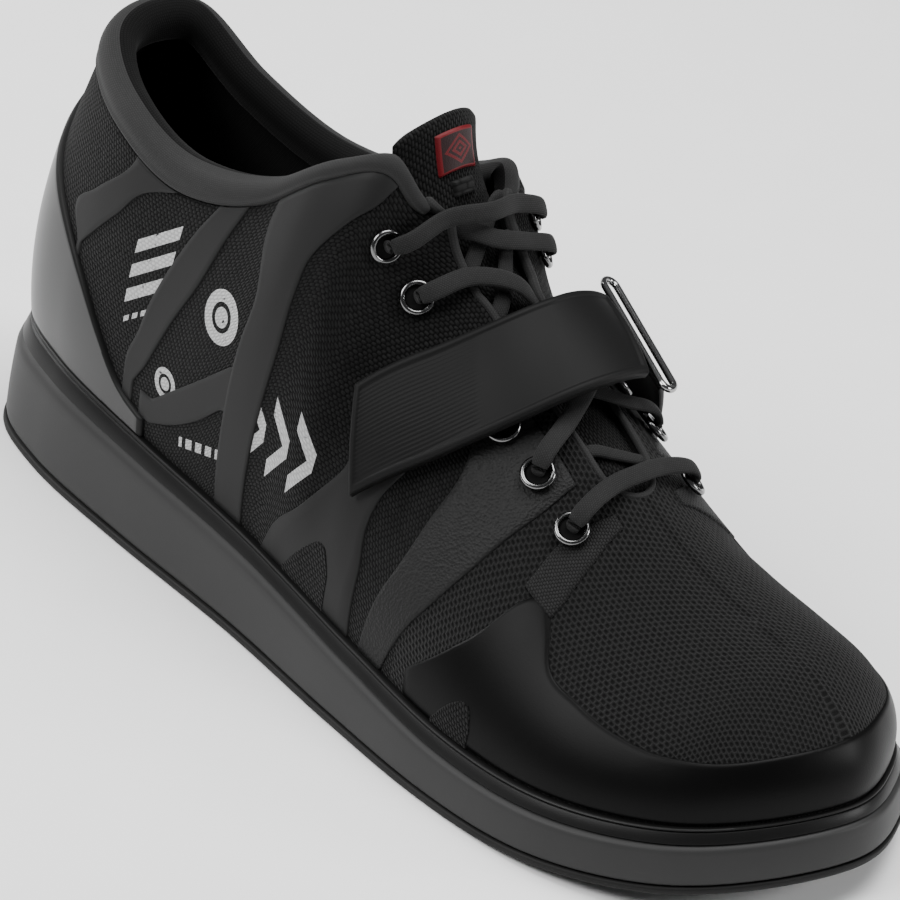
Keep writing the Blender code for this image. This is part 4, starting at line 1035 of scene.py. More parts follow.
def close_ridge(runs, layer):
    """Brings both sides together on the ridge, and round the toe to one point."""
    top = layer[:, -1].copy()
    for i in np.flatnonzero(np.abs(runs) >= THROAT_END):
        mirror = int(np.argmin(np.abs(runs + runs[i]))) if abs(runs[i]) < 1.0 else i
        layer[i, -1] = (top[i] + top[mirror]) / 2.0
    pole = np.abs(runs) >= TOE_POLE
    layer[pole, -1] = layer[pole, -1].mean(axis=0)
    return layer


half = np.concatenate([np.linspace(0.0, CUFF_RAMP[0], 100),
                       np.linspace(CUFF_RAMP[1], THROAT_TURN, 56), turn_runs(13),
                       np.linspace(THROAT_END, 1.0, 80)[1:]])
runs = np.concatenate([-half[:0:-1], half[:-1]])
tops = np.array([upper_top(run) for run in runs])
outer_rises, inner_rises = (tops[:, None] * np.linspace(0.0, 1.0, rows) for rows in (48, 18))
outside = close_ridge(runs, skin(runs[:, None], outer_rises))
inside = close_ridge(runs, skin(runs[:, None], inner_rises, -UPPER_WALL))
shell_grid = np.concatenate([outside, inside[:, ::-1]], axis=1)
shell_weave = np.concatenate([weave_place(runs[:, None], outer_rises),
                              weave_place(runs[:, None], inner_rises)[:, ::-1]], axis=1)
shell_rows = shell_grid.shape[1]
shell_picks = np.where(np.arange(shell_rows - 1) >= outer_rises.shape[1] - 1, 2,
                       (np.abs(runs) > TOE_MESH_START).astype(int)[:, None])
shell = piece("upper_shell", shell_grid, grid_faces(len(runs), shell_rows, ring=True),
              [side_mesh_finish, toe_mesh_finish, lining_finish], ["upper"], "upper_mesh",
              weave=shell_weave, picks=shell_picks.ravel())
weld(shell)

# %% [markdown]
# The cuff is a foam roll under smooth knit. Its section is a rounded hook over the top edge,
# drawn by a short table and carried along the opening, as a pipe would be bent. Cloth
# simulation would puff it too, but here the roll is tight and even, so the section is enough.

# %% Padded cuff
cuff_finish = woven("cuff knit", 0.018, 0.025, 0.75, 0.6, 0.04, roughness=0.7)
CUFF_SECTION = table(
    "place share stand",
    ("outer foot", 0.02, 0.03), ("outer swell", 0.25, 0.16), ("outer cheek", 0.55, 0.22),
    ("outer shoulder", 0.85, 0.12), ("crown", 1.03, -0.18), ("inner crown", 1.06, -0.48),
    ("inner shoulder", 0.95, -0.78), ("inner cheek", 0.70, -0.97), ("inner swell", 0.35, -1.00),
    ("inner foot", 0.02, -0.86),
)
CUFF_PADDING = 8.0
CUFF_PADDING_END = 5.0
CUFF_THIN_START = 0.36
CUFF_STEPS = 5
LINED_ROWS = (5, 9)


def closed_curve(name):
    """Smooth closed curve through one column of the cuff's section."""
    values = column(CUFF_SECTION, name)
    values = np.concatenate([[values[-1]], values, [values[0], values[1]]])
    wanted = np.arange(len(CUFF_SECTION) * CUFF_STEPS) / CUFF_STEPS
    return smooth(np.arange(-1.0, len(CUFF_SECTION) + 2.0), values, wanted)[None, :]


def pipe(name, rings, finishes, nodes, slot, closed=False, picks=None):
    """Closed body through rings of points, with rounded ends or joined as a loop."""
    if not closed:
        caps = []
        for end, before in ((rings[0], rings[1]), (rings[-1], rings[-2])):
            centre = end.mean(axis=0)
            way = unit(centre - before.mean(axis=0))
            radius = size_of(end - centre).min()
            caps.append([centre + (end - centre) * np.cos(t) + way * radius * np.sin(t)
                         for t in np.radians([25.0, 50.0, 70.0, 85.0])])
        rings = np.concatenate([np.array(caps[0])[::-1], rings, np.array(caps[1])])
    count, size = rings.shape[:2]
    before_caps = count if closed else count - 8
    weave = spread(travelled(rings.mean(axis=1)), travelled(rings[before_caps // 2]))
    faces = []
    for i in range(count if closed else count - 1):
        here, after = i * size, (i + 1) % count * size
        faces += [(here + j, here + (j + 1) % size, after + (j + 1) % size, after + j)
                  for j in range(size)]
    chosen = None if picks is None else np.tile(picks, len(faces) // size)
    if not closed:
        faces += [tuple(range(size))[::-1], tuple((count - 1) * size + j for j in range(size))]
        chosen = None if picks is None else np.append(chosen, [0, 0])
    return piece(name, rings, faces, finishes, nodes, slot, weave=weave, picks=chosen)


half = np.linspace(0.0, CUFF_END, 110)
cuff_runs = np.concatenate([-half[:0:-1], half])
foot = cuff_line(cuff_runs, 0.15)[:, None]
padding = np.interp(np.abs(cuff_runs), (CUFF_THIN_START, CUFF_END),
                    (CUFF_PADDING, CUFF_PADDING_END))[:, None]
cuff_rings = skin(cuff_runs[:, None], foot + (1.0 - foot) * closed_curve("share"),
                  padding * closed_curve("stand"))
lined = [int(LINED_ROWS[0] * CUFF_STEPS - 3 <= j < LINED_ROWS[1] * CUFF_STEPS)
         for j in range(len(CUFF_SECTION) * CUFF_STEPS)][::-1]
cuff = pipe("padded_cuff", cuff_rings[:, ::-1], [cuff_finish, lining_finish], ["cuff"],
            "cuff_fabric", picks=lined)

# %% [markdown]
# The cut edge of the throat is bound with a thin roll in the colour of the cuff. It is a pipe
# along that edge, from one corner of the collar round the end of the throat to the other.

# %% Throat binding
BINDING_RADII = (1.5, 0.9)
BINDING_TAPER_END = 0.56
half = np.concatenate([np.linspace(CUFF_END, THROAT_TURN, 90), turn_runs(25)])
binding_runs = np.concatenate([half, -half[-2::-1]])
frames = [surface_frame(signed, throat_edge(signed), -0.45) for signed in binding_runs]
centres = np.array([centre for centre, _, _, _ in frames])
headings = unit(np.gradient(centres, axis=0))
sides = unit(np.cross(np.array([out for _, _, _, out in frames]), headings))
outs = np.cross(headings, sides)
radius = np.interp(np.abs(binding_runs), (CUFF_END, BINDING_TAPER_END), BINDING_RADII)
roll = circle(12)[None, :, None]
rings = centres[:, None, :] + radius[:, None, None] * (
    sides[:, None, :] * np.cos(roll) + outs[:, None, :] * np.sin(roll))
pipe("throat_binding", rings, [cuff_finish], [], "cuff_fabric")

# %% [markdown]
# ## Bands, counter and rand
# These overlays are thin coated sheets, welded onto the mesh. Each is a grid on the skin that
# swells from just under the cloth to its full height within a fraction of a millimetre of
# its edge, which gives the soft pressed edge of the real ones. A solidify modifier would
# leave square edges.

# %% Overlay helpers
PANEL_TOP = 0.55
PANEL_FOOT = -0.2
PANEL_EDGE = 0.4
SEAM_LAP = 0.012


def edge_shares(length, count):
    """Shares along a side with a few close to each end, for the rounded edge."""
    edge = np.clip(PANEL_EDGE / np.asarray(length, float), 0.0, 0.3)[..., None]
    near = edge * np.array([0.0, 0.1, 0.35, 1.0])
    middle = edge + (1.0 - 2.0 * edge) * np.linspace(0.0, 1.0, count)[1:-1]
    return np.concatenate([near, middle, 1.0 - near[..., ::-1]], axis=-1)


def from_edges(points):
    """Millimetres from each point of a grid to the nearest of its four sides."""
    nearest = np.full(points.shape[:2], np.inf)
    for axis in (0, 1):
        steps = size_of(np.diff(points, axis=axis))
        start = np.zeros_like(nearest).take([0], axis=axis)
        run = np.concatenate([start, np.cumsum(steps, axis=axis)], axis=axis)
        nearest = np.minimum(nearest, np.minimum(run, run.take([-1], axis=axis) - run))
    return nearest


def swell(distance, edge):
    """Quarter round from 0 at the edge to 1."""
    return np.sqrt(1.0 - (1.0 - np.clip(distance / edge, 0.0, 1.0))**2)


def panel(name, runs, rises, finish, nodes, slot, top=PANEL_TOP, edge=PANEL_EDGE, rim=None):
    """Overlay on the skin over a grid of runs and rises, with a rim finish where one is given."""
    distance = from_edges(skin(runs, rises))
    points = skin(runs, rises, PANEL_FOOT + (top - PANEL_FOOT) * swell(distance, edge))
    inner = np.minimum.reduce([distance[:-1, :-1], distance[1:, :-1], distance[:-1, 1:],
                               distance[1:, 1:]])
    picks = (inner < edge * 0.9).astype(int).ravel() if rim else None
    return piece(name, points, grid_faces(*runs.shape), [finish, rim] if rim else [finish], nodes,
                 slot, weave=weave_place(runs, rises), picks=picks)


def band(name, rows, finish, nodes, slot, side, across, top, high, tuck):
    """Overlay read from a table of bands, tucked under its neighbour at its lower end."""
    places = column(rows, "rise")
    first = places[0] - tuck
    rise = first + (places[-1] - first) * edge_shares((places[-1] - places[0]) * 95.0, 44)
    read = np.clip(rise, places[0], places[-1])
    rear = smooth(places, column(rows, "rear"), read)
    front = smooth(places, column(rows, "front"), read)
    wide = size_of(skin(side * front, rise) - skin(side * rear, rise))
    runs = rear[None, :] + (front - rear)[None, :] * edge_shares(wide, across).T
    rises = np.broadcast_to(rise[None, :], runs.shape)
    if rows[0].rise == 0.0:
        seat = welt_line(side * runs[:, 0])[:, None] - SEAM_LAP
        rises = seat + rises * (1.0 - seat / rise[-1])
    if high:
        goal = cuff_line(side * runs[:, -1]) + SEAM_LAP
        rises = first + (rises - first) * ((goal - first) / (rise[-1] - first))[:, None]
    if side < 0.0:
        runs, rises = -runs[::-1], rises[::-1]
    return panel(name, runs, rises, finish, nodes, slot, top)


def reach(name, rows, finish, nodes, slot, low_run, high_run, steps, tall, top=PANEL_TOP,
          edge=PANEL_EDGE, rim=None):
    """Overlay read along the run; both sides of the shoe use the same rows."""
    run = low_run + (high_run - low_run) * edge_shares((high_run - low_run) * 350.0, steps)
    places = column(rows, "run")
    read = np.clip(1.0 - np.abs(1.0 - np.abs(run)), places[0], places[-1])
    low = np.maximum(smooth(places, column(rows, "low"), read), welt_line(run) - SEAM_LAP)
    high = np.maximum(smooth(places, column(rows, "high"), read), low + 0.01)
    share = edge_shares(size_of(skin(run, high) - skin(run, low)), tall)
    rises = low[:, None] + (high - low)[:, None] * share
    runs = np.broadcast_to(run[:, None], rises.shape)
    return panel(name, runs, rises, finish, nodes, slot, top, edge, rim)


# %% Tables of the overlays
BAND = "rise rear front"
HEEL_BAND = table(
    BAND, (0.46, 0.166, 0.172), (0.54, 0.151, 0.186), (0.64, 0.170, 0.203),
    (0.82, 0.203, 0.238), (0.86, 0.206, 0.256))
ANKLE_BAND = table(
    BAND, (0.21, 0.247, 0.259), (0.27, 0.247, 0.268), (0.36, 0.254, 0.277),
    (0.47, 0.259, 0.287), (0.60, 0.268, 0.300), (0.78, 0.284, 0.312), (0.87, 0.295, 0.320))
SADDLE_BAND = table(
    BAND, (0.00, 0.363, 0.394), (0.25, 0.361, 0.395), (0.48, 0.359, 0.396),
    (0.62, 0.360, 0.393), (0.70, 0.354, 0.394), (0.78, 0.347, 0.408), (0.84, 0.344, 0.420),
    (0.92, 0.344, 0.426))
STRAP_BASE = table(
    BAND, (0.00, 0.418, 0.531), (0.13, 0.436, 0.530), (0.20, 0.454, 0.529),
    (0.28, 0.471, 0.523), (0.36, 0.485, 0.524), (0.46, 0.485, 0.534))
FOREFOOT_BAND = table(
    BAND, (0.00, 0.544, 0.571), (0.18, 0.553, 0.588), (0.30, 0.563, 0.603),
    (0.42, 0.569, 0.615), (0.55, 0.573, 0.624), (0.68, 0.563, 0.631), (0.80, 0.560, 0.633))
RAND_ARM = table(
    BAND, (0.585, 0.650, 0.678), (0.65, 0.649, 0.675), (0.72, 0.650, 0.672),
    (0.80, 0.654, 0.668), (0.86, 0.657, 0.666))
REACH = "run low high"
COUNTER = table(
    REACH, (0.000, 0.00, 0.70), (0.050, 0.00, 0.67), (0.100, 0.00, 0.575),
    (0.157, 0.00, 0.455), (0.190, 0.00, 0.360), (0.214, 0.00, 0.270), (0.242, 0.00, 0.170),
    (0.276, 0.00, 0.120))
SADDLE_ARM = table(
    REACH, (0.282, 0.12, 0.205), (0.308, 0.175, 0.300), (0.336, 0.250, 0.390),
    (0.3565, 0.315, 0.440))
TOE_RAND = table(
    REACH, (0.598, 0.00, 0.125), (0.609, 0.00, 0.170), (0.631, 0.00, 0.280),
    (0.646, 0.00, 0.390), (0.654, 0.00, 0.500), (0.668, 0.00, 0.560), (0.680, 0.00, 0.530),
    (0.700, 0.00, 0.450), (0.740, 0.00, 0.420), (0.800, 0.00, 0.400), (0.860, 0.00, 0.400),
    (0.930, 0.00, 0.430), (1.000, 0.00, 0.440))

# Mesh shows through the strap base and the rand in a few notches above the welt.
NOTCHES = (
    table(REACH, (0.446, 0.0, 0.050), (0.470, 0.0, 0.150), (0.485, 0.0, 0.190),
          (0.494, 0.0, 0.175), (0.500, 0.0, 0.130)),
    table(REACH, (0.632, 0.0, 0.060), (0.650, 0.0, 0.165), (0.660, 0.0, 0.195),
          (0.667, 0.0, 0.180), (0.672, 0.0, 0.120)),
)

# %% [markdown]
# The bands lie on both sides, so one table names them and a loop makes each twice. The counter
# and the rand go round the heel and the toe in one piece. The small patches of mesh lie just
# over the coated sheet, because cutting them out would leave rough edges.

# %% Overlays of both sides
band_finish = moulded("side band skin", 0.0092, 0.28, 0.02, 0.55, wear=0.08, dusty=0.01)
counter_finish = moulded("heel counter shell", 0.016, 0.8, 0.006, 0.34, coat=0.25,
                         coat_roughness=0.3, wear=0.15, dusty=0.01)
rand_finish = moulded("toe rand skin", 0.0013, 0.5, 0.02, 0.42, wear=0.15, dusty=0.0,
                      specular=0.09)
grained_finish = moulded("forefoot band skin", 0.0085, 0.75, 0.3, 0.55, wear=0.08, dusty=0.0)
rim_finish = moulded("counter rim", 0.004, 0.5, 0.01, 0.5, wear=0.0, dusty=0.0)
arm_finish = woven("speckled arm", 0.005, 0.015, 1.0, 0.7, 0.1, roughness=0.55, uneven=0.4)
reach("counter_shell", COUNTER, counter_finish, ["heel_counter"], "heel_counter_moulding",
      -COUNTER[-1].run, COUNTER[-1].run, 150, 30, top=1.5, edge=1.0, rim=rim_finish)
reach("rand_skin", TOE_RAND, rand_finish, ["toe_rand"], "toe_rand_skin",
      TOE_RAND[0].run, 2.0 - TOE_RAND[0].run, 190, 24, top=0.5, edge=1.2)
BANDS = table(
    "name rows high tuck across finish slot top",
    ("heel_band", HEEL_BAND, True, 0.05, 9, band_finish, "side_band_skin", PANEL_TOP),
    ("ankle_band", ANKLE_BAND, True, 0.07, 9, band_finish, "side_band_skin", PANEL_TOP),
    ("saddle", SADDLE_BAND, True, 0.0, 14, band_finish, "side_band_skin", PANEL_TOP),
    ("strap_base", STRAP_BASE, False, 0.0, 9, band_finish, "side_band_skin", PANEL_TOP),
    ("forefoot_band", FOREFOOT_BAND, False, 0.0, 14, grained_finish, "side_band_skin", PANEL_TOP),
    ("rand_arm", RAND_ARM, False, 0.05, 9, arm_finish, "toe_rand_skin", 0.7),
)
for side, place_name in SIDES:
    for row in BANDS:
        band(f"{row.name}_skin_{place_name}", row.rows, row.finish, [f"{row.name}_{place_name}"],
             row.slot, side, row.across, row.top, row.high, row.tuck)
    for number, rows in enumerate(NOTCHES, start=1):
        ends = sorted((side * rows[0].run, side * rows[-1].run))
        reach(f"notch_{number}_{place_name}", rows, side_mesh_finish, [], "upper_mesh",
              *ends, 24, 14, top=PANEL_TOP + 0.12, edge=0.3)
reach("saddle_arm_skin", SADDLE_ARM, band_finish, ["saddle_arm_lateral"], "side_band_skin",
      SADDLE_ARM[0].run - 0.014, SADDLE_ARM[-1].run + 0.012, 30, 9, top=PANEL_TOP - 0.05)

# %% [markdown]
# ## Tongue
# A padded tongue of ribbed knit shows between the flaps and stands up in front of the ankle.
# It is made from its own centre line, with the cross section of the instep, and swells to
# its edges like a thin cushion.

# %% Tongue shape
TONGUE_ROWS = table(
    "name place along height width",
    ("instep", 0.500, 0.505, 0.746, 1.00), ("lace top", 0.470, 0.465, 0.825, 0.97),
    ("cuff level", 0.440, 0.440, 0.915, 0.84), ("tip", 0.400, 0.423, 1.028, 0.84),
)
TONGUE_TOE = 0.715
TONGUE_DROP = UPPER_WALL + 0.45
TONGUE_THICKNESS = 4.0
TONGUE_SPREAD = 0.26
TONGUE_HALF_WIDTH = 28.0


def frame_along(direction):
    """Rows: along a centre line in the XZ plane, across it, and outwards."""
    ahead = unit(np.array([direction[0], 0.0, direction[2]]))
    across = np.array([0.0, 1.0, 0.0])
    outward = np.cross(ahead, across)
    return np.stack([ahead, across, -outward if outward[2] < 0.0 else outward])


def tongue_point(place, across, offset=0.0):
    """Point on the tongue: across is -1 at its outer side edge and 1 at its inner one."""
    run = max(place, TONGUE_ROWS[0].place)
    signed = np.where(across > 0.0, -run, run)
    rise = 1.0 - np.abs(across) * TONGUE_SPREAD
    if place >= TONGUE_ROWS[0].place:
        return skin(signed, rise, offset - TONGUE_DROP)
    centre = skin(run, 1.0, -TONGUE_DROP)
    start = frame_along(centre - skin(run + 0.02, 1.0, -TONGUE_DROP))

    def read(name, at):
        return smooth(-column(TONGUE_ROWS, "place"), column(TONGUE_ROWS, name), at)

    here, ahead = (np.array([along_x(read("along", at)), centre[1],
                             read("height", at) * CUFF_HEIGHT]) for at in (-place, 0.01 - place))
    axes = frame_along(ahead - here)
    local = (skin(signed, rise, -TONGUE_DROP) - centre) @ start.T
    local[:, 1] *= read("width", -place)
    return here + local @ axes + offset * axes[2]


def tongue_layer(places, across, offset):
    """Grid of points on the tongue."""
    return np.stack([tongue_point(place, across, offset) for place in places])


# %% Tongue
knit_finish = woven("tongue knit", 0.0008, 0.011, 2.0, 1.3, 0.3, uneven=0.2)
places = np.concatenate([np.linspace(TONGUE_TOE, 0.5, 56), np.linspace(0.498, 0.40, 40)])
across = np.sin(np.linspace(-np.pi / 2.0, np.pi / 2.0, 61))
face = tongue_layer(places, across, 0.0)
back = tongue_layer(places, across, -TONGUE_THICKNESS)
tip = np.concatenate([np.cumsum(size_of(np.diff(face[:, 30], axis=0))[::-1])[::-1], [0.0]])
room = np.minimum(tip[:, None], ((1.0 - np.abs(across)) * TONGUE_HALF_WIDTH)[None, :])
full = swell(room, 2.6)[..., None]
crown = np.clip(1.25 - across**4, 0.3, 1.0)[None, :, None]
middle = face + (back - face) * 0.35 * crown
front_face = middle + (face - middle) * full
back_face = middle + (back - middle) * crown * full
tongue_weave = spread(-tip, across * TONGUE_HALF_WIDTH)
tongue_faces = flipped_grid(*room.shape) + grid_faces(*room.shape, first=room.size)
tongue = piece("knit_tongue", np.stack([front_face, back_face]), tongue_faces, [knit_finish],
               ["tongue"], "tongue_knit", weave=np.stack([tongue_weave, tongue_weave]))
weld(tongue)

# %% [markdown]
# A woven patch and a tape loop for the laces are sewn onto the tongue. Both are small grids
# with rounded edges on the tongue's own surface, so they curve with it.

# %% Label and keeper
tape_finish = woven("keeper tape", 0.006, 0.013, 1.1, 0.8, 0.12, roughness=0.65)


def tongue_patch(name, span, half, stand, finish, node, slot, corner, arch=0.0):
    """Thin patch on the tongue with rounded edges."""
    rows, columns = np.linspace(*span, 31), np.linspace(-half, half, 41)
    flat = tongue_layer(rows, columns, 0.0)
    out = tongue_layer(rows, columns, 1.0) - flat
    lift = arch * np.cos(np.linspace(-np.pi / 2.0, np.pi / 2.0, 41))[None, :]
    points = flat + out * (swell(from_edges(flat), corner) * stand + lift - 0.05)[..., None]
    place_on = spread(np.linspace(-1.0, 1.0, 31), np.linspace(-1.0, 1.0, 41))[..., ::-1]
    return piece(name, points, flipped_grid(31, 41), [finish], [node], slot, weave=place_on)


def label_finish():
    """Woven dark patch with a red border and plain red diamonds."""
    made, shader, spot = start_finish("label patch", Roughness=0.45, Specular_IOR_Level=0.2)
    flat_x, flat_y, _ = [abs(part) for part in split(cloth_place(spot.tree))]
    far = flat_x + flat_y
    motif = (math("COSINE", far * 19.0) > 0.0) * (far < 0.74)
    border = math("MAXIMUM", flat_x, flat_y) > 0.84
    grain = use_group(GRAIN, spot, Size=0.3)
    ground = blend(grain["Mottle"], (0.010, 0.004, 0.004, 1.0), (0.020, 0.006, 0.007, 1.0))
    ink = blend(math("MAXIMUM", border, motif * 0.9), ground, (0.11, 0.006, 0.009, 1.0))
    set_inputs(shader, Base_Color=ink)
    raise_by(shader, grain["Height"] + motif, 0.08)
    return made


tongue_patch("label_patch", (0.438, 0.411), 0.42, 0.8, label_finish(), "tongue_label",
             "tongue_label_patch", 0.7)
tongue_patch("keeper_loop", (0.452, 0.443), 0.22, 1.0, tape_finish, "lace_keeper", "keeper_tape",
             0.6, arch=0.5)

# %% [markdown]
# ## Eyelets and laces
# Each eyelet is a rolled ring of dark metal round a hole. The lace is one flat cord of about
# 5 mm: it comes out of a hole, bends over the edge of the flap and crosses the tongue. Every
# stretch that shows is a pipe along its own smooth path, because a single curve through all
# the holes would have to be hidden under the flaps anyway.

# %% Eyelets
eyelet_finish = metal("eyelet metal", 0.18, 0.16)
# Painted shade: a dark disc inside each eyelet ring stands for the shade in the hole.
hole_shade_finish = moulded("eyelet hole", 0.0015, 0.5, 0.01, 0.9, dusty=0.0, wear=0.0)
EYELETS = table(
    "run rise stand", (0.441, 0.850, 0.4), (0.475, 0.775, 1.17), (0.526, 0.735, 0.4),
    (0.578, 0.720, 1.9), (0.614, 0.720, 1.9), (0.649, 0.720, 1.9))
EYELET_OUTER = 4.6
EYELET_INNER = 3.0
EYELET_HEIGHT = 1.1
EYELET_FOOT = 0.25
EYELET_SIDES = 40
RING_SIDES = 12
HOLE_RADIUS = 3.3
HOLE_SIDES = 24
roll = circle(RING_SIDES)
wide = (EYELET_OUTER + EYELET_INNER + np.cos(roll) * (EYELET_OUTER - EYELET_INNER)) / 2.0
high = EYELET_FOOT + np.sin(roll) * (EYELET_HEIGHT - EYELET_FOOT)
for number, row in enumerate(EYELETS, start=1):
    for side, place_name in SIDES:
        centre, ahead, up, out = surface_frame(side * row.run, row.rise, row.stand)
        rings = [centre + (ahead * np.cos(angle) + up * np.sin(angle)) * wide[:, None]
                 + out * high[:, None] for angle in circle(EYELET_SIDES)]
        pipe(f"ring_{number}_{place_name}", np.array(rings), [eyelet_finish],
             [f"eyelet_{number}_{place_name}"], "eyelet_metal", closed=True)
        # Dark disc over the skin in the ring: painted shade in the hole.
        turn = circle(HOLE_SIDES)[:, None]
        disc = centre + (ahead * np.cos(turn) + up * np.sin(turn)) * HOLE_RADIUS
        points = np.concatenate([disc + out * 0.12, [centre + out * 0.02]])
        faces = [(k, (k + 1) % HOLE_SIDES, HOLE_SIDES) for k in range(HOLE_SIDES)]
        piece(f"hole_{number}_{place_name}", points, faces, [hole_shade_finish], [], "eyelet_metal")

# %% Laces
# Start and end name the eyelet, or 0 for an end hidden under the flap.
lace_finish = woven("lace cord", 0.011, 0.022, 0.7, 0.5, 0.05, roughness=0.7, uneven=0.1)
LACES = table(
    "name side start start_edge end end_edge level width",
    ("lace_top_bar", 1, 1, 0.455, 1, 0.455, 3.9, 5.0),
    ("lace_upper_lateral", 1, 2, 0.490, 0, 0.520, 2.4, 5.0),
    ("lace_upper_medial", -1, 2, 0.482, 0, 0.466, 2.8, 5.0),
    ("lace_under_top", 1, 0, 0.486, 0, 0.452, -1.9, 4.4),
    ("lace_under_second", 1, 0, 0.516, 0, 0.478, -1.5, 4.4),
    ("lace_lower_lateral", 1, 5, 0.604, 0, 0.575, 5.2, 5.0),
    ("lace_lower_medial", -1, 5, 0.604, 0, 0.570, 0.8, 5.0),
    ("lace_under_lower", 1, 0, 0.622, 0, 0.636, -2.4, 3.4),
    ("lace_bottom_bar", 1, 6, 0.645, 6, 0.645, 1.6, 5.0),
)
LACE_THICKNESS = 1.7
LACE_LIFT = 1.6
LACE_PINCH = 0.62
THROAT_CROWN = 1.8
LACE_STATIONS = 64


def lace_end(side, row, edge):
    """Points from the hidden or seated end of a lace to the edge of the flap."""
    rim, _, up, rim_out = surface_frame(side * edge, throat_edge(side * edge), 0.0)
    if row:
        eyelet = EYELETS[row - 1]
        centre, _, _, out = surface_frame(side * eyelet.run, eyelet.rise, eyelet.stand)
        over_rim = rim + rim_out * (LACE_LIFT + LACE_THICKNESS * 0.6)
        toward = over_rim - centre
        toward = unit(toward - out * toward.dot(out))
        return [(centre - out * 0.6, toward), (centre + out * 1.7 + toward * 0.5, out + toward),
                (centre + out * 3.0 + toward * 2.6, out), (over_rim, rim_out)]
    under = rim - up * 5.0 - rim_out * (UPPER_WALL + 0.5)
    return [(under, rim_out), (rim + up * 1.5 - rim_out * (UPPER_WALL * 0.5), rim_out)]


def lace_path(row):
    """Points and outward directions of one lace."""
    first = lace_end(row.side, row.start, row.start_edge)
    last = lace_end(-row.side, row.end, row.end_edge)[::-1]
    out = unit(first[-1][1] + last[0][1])
    middle_run = (row.start_edge + row.end_edge) / 2.0
    rims = [surface_frame(s * middle_run, throat_edge(s * middle_run), 0.0)[0] for s in (1, -1)]
    middle = (rims[0] + rims[1]) / 2.0 + out * (THROAT_CROWN + row.level)
    chain = first + [(middle, out)] + last
    points = np.array([point for point, _ in chain])
    outs = np.array([unit(way) for _, way in chain])
    gaps = travelled(points)
    wanted = np.linspace(0.0, gaps[-1], LACE_STATIONS)
    return smooth_points(gaps, points, wanted), smooth_points(gaps, outs, wanted), wanted


roll = circle(18)
for row in LACES:
    path, turned, along = lace_path(row)
    ahead = unit(np.gradient(path, axis=0))
    sideways = unit(np.cross(turned, ahead))
    up = np.cross(ahead, sideways)
    flat = np.sign(np.cos(roll)) * np.abs(np.cos(roll))**0.75 * row.width / 2.0
    thick = np.sign(np.sin(roll)) * np.abs(np.sin(roll))**0.85 * LACE_THICKNESS / 2.0
    pinch = np.ones(LACE_STATIONS)
    for seated, away in ((row.start, along), (row.end, along[-1] - along)):
        if seated:
            share = np.clip(away / 5.0, 0.0, 1.0)
            pinch = np.minimum(pinch, LACE_PINCH + (1.0 - LACE_PINCH) * share)
    rings = (path[:, None, :] + sideways[:, None, :] * (flat[None, :] * pinch[:, None])[..., None]
             + up[:, None, :] * thick[None, :, None])
    pipe(row.name.replace("lace_", "cord_"), rings, [lace_finish], [row.name], "lace_cord")

# %% [markdown]
# ## Instep strap
# The strap is one moulded band with a raised rim, a recessed field and fine ribs on its near
# end. Its two edges are read from a table like the overlays, and its thickness is drawn by
# the distance from the edges. Real ribs are cheap here and hold up in a close view.

# %% Strap shape
strap_finish = moulded("strap moulding", 0.0068, 0.35, 0.012, 0.55, wear=0.1, dusty=0.01,
                       specular=0.1)
STRAP = "name upper_run upper_side lower_run lower_side lift"
STRAP_ROWS = table(
    STRAP, ("tab end", 0.469, -0.46, 0.504, -0.67, 2.2), ("tab", 0.490, -0.37, 0.536, -0.54, 3.0),
    ("outer flap", 0.509, -0.27, 0.562, -0.42, 4.3),
    ("outer edge", 0.524, -0.15, 0.584, -0.29, 6.2),
    ("middle", 0.531, -0.02, 0.597, -0.15, 7.6), ("inner edge", 0.530, 0.12, 0.603, 0.00, 9.0),
    ("inner flap", 0.526, 0.26, 0.602, 0.15, 10.5))
ANCHOR_ROWS = table(
    STRAP, ("below the loop", 0.520, 0.395, 0.596, 0.295, 8.2),
    ("inner side", 0.510, 0.60, 0.585, 0.54, 3.4), ("above the welt", 0.500, 0.86, 0.570, 0.85, 1.95))
STRAP_THICKNESS = 2.2
STRAP_ARCH = 1.2
STRAP_COLUMNS = 81
RIM_WIDTH = 1.9
FIELD_DEPTH = 0.5
RIB_PITCH = 1.15
RIB_END = 0.44


def over(run, side, offset):
    """Point over the instep: negative sides lie on the outer half of the shoe."""
    return skin(np.where(side > 0.0, -run, run), 1.0 - np.abs(side), offset)


def strap_layer(rows, offset, stations):
    """Grid of points on the strap, offset from its lower face."""
    places = np.linspace(0.0, 1.0, len(rows))
    wanted = np.linspace(0.0, 1.0, stations)
    upper_run, upper_side, lower_run, lower_side, lift = [
        smooth(places, column(rows, name), wanted) for name in STRAP.split()[1:]]
    lift = lift + offset
    middle = (upper_run + lower_run) / 2.0, (upper_side + lower_side) / 2.0
    share = np.linspace(0.0, 1.0, STRAP_COLUMNS)[None, :, None]
    flat = (over(upper_run, upper_side, lift)[:, None, :] * (1.0 - share)
            + over(lower_run, lower_side, lift)[:, None, :] * share)
    outward = over(*middle, lift + 1.0) - over(*middle, lift)
    return flat + outward[:, None, :] * (STRAP_ARCH * (1.0 - (2.0 * share - 1.0)**2))


def evened(layer, rounds=90):
    """Layer of a strap without the small kink that the ridge of the foot leaves in it."""
    for _ in range(rounds):
        layer[1:-1] = (layer[:-2] + 2.0 * layer[1:-1] + layer[2:]) / 4.0
    return layer


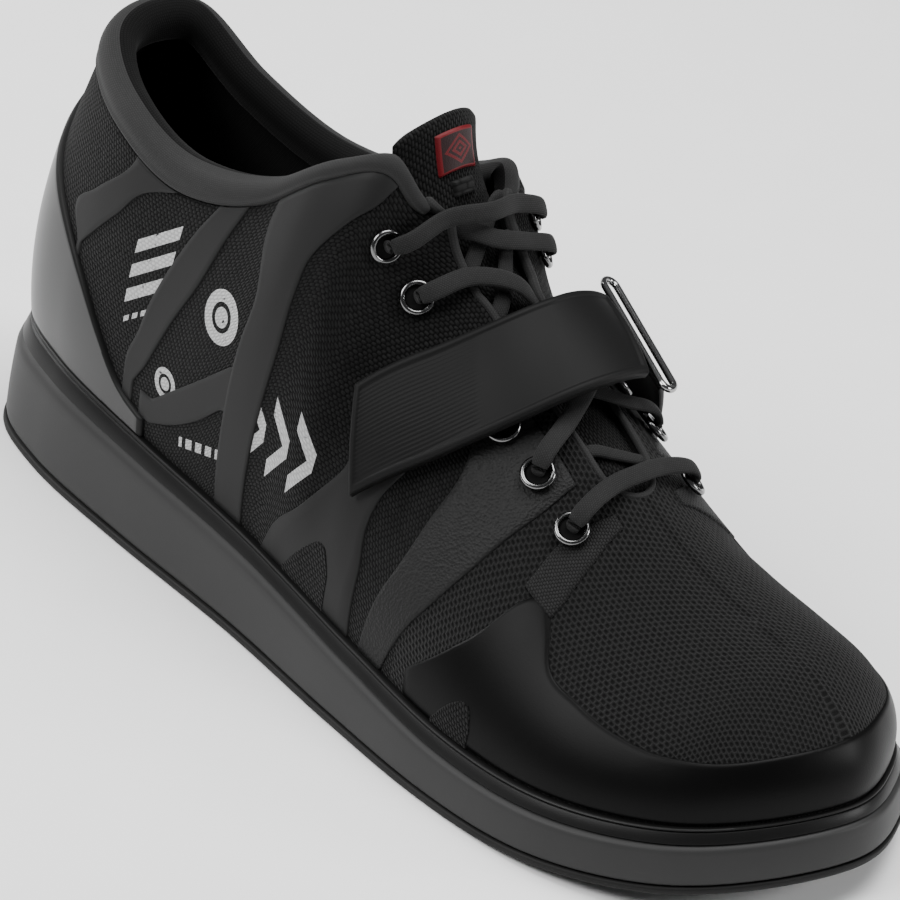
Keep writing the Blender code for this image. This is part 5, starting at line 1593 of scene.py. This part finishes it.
def strap_body(name, rows, nodes, stations, ribs):
    """Strap between two edges, with its rim and ribs."""
    low, high = (evened(strap_layer(rows, offset, stations)) for offset in (0.0, STRAP_THICKNESS))
    distance = from_edges(low)
    width = size_of(np.diff(low, axis=1)).sum(axis=1)
    across = np.linspace(0.0, 1.0, STRAP_COLUMNS)[None, :] * width[:, None]
    lower_in = np.clip((distance - RIM_WIDTH) / 0.7, 0.0, 1.0)
    field = lower_in**2 * (3.0 - 2.0 * lower_in)
    near = np.clip((RIB_END - np.linspace(0.0, 1.0, stations)[:, None]) / 0.03, 0.0, 1.0)
    waves = np.sin(2.0 * np.pi * across / RIB_PITCH) * ribs * near * field
    height = STRAP_THICKNESS * swell(distance, 1.1) - FIELD_DEPTH * field + 0.1 * waves
    top = low + (high - low) / STRAP_THICKNESS * height[..., None]
    faces = flipped_grid(*distance.shape) + grid_faces(*distance.shape, first=distance.size)
    weld(piece(name, np.stack([top, low]), faces, [strap_finish], nodes, "strap_web"))


strap_body("instep_strap", STRAP_ROWS, ["strap"], 220, 1.0)
strap_body("strap_root", ANCHOR_ROWS, ["strap_anchor"], 80, 0.0)

# %% [markdown]
# The strap's far end runs through a loop of bent wire. Two half rounds joined by straight
# stretches give its path, and a pipe follows it.

# %% Wire loop
loop_finish = metal("strap loop metal", 0.35, 0.16)
LOOP_STAND = 4.6
LOOP_OVERHANG = 6.0
LOOP_HALF = 2.8
LOOP_WIRE = 1.0
edge = strap_layer(STRAP_ROWS, STRAP_THICKNESS / 2.0, 21)
ahead = unit((edge[-1] - edge[-3]).mean(axis=0))
width = size_of(edge[-1, -1] - edge[-1, 0])
sideways = (edge[-1, -1] - edge[-1, 0]) / width
middle = edge[-1].mean(axis=0) + ahead * LOOP_STAND
out = np.cross(sideways, ahead)
roll = circle(16)[:, None]
rings = []
for end in (1.0, -1.0):
    for turn in np.radians(-90.0 * end + np.linspace(0.0, 180.0, 25)):
        way = sideways * np.cos(turn) + ahead * np.sin(turn)
        point = middle + sideways * end * (width / 2.0 + LOOP_OVERHANG - LOOP_HALF) + way * LOOP_HALF
        rings.append(point + (way * np.cos(roll) + out * np.sin(roll)) * LOOP_WIRE)
pipe("wire_loop", np.array(rings), [loop_finish], ["strap_loop"], "strap_loop_metal", closed=True)
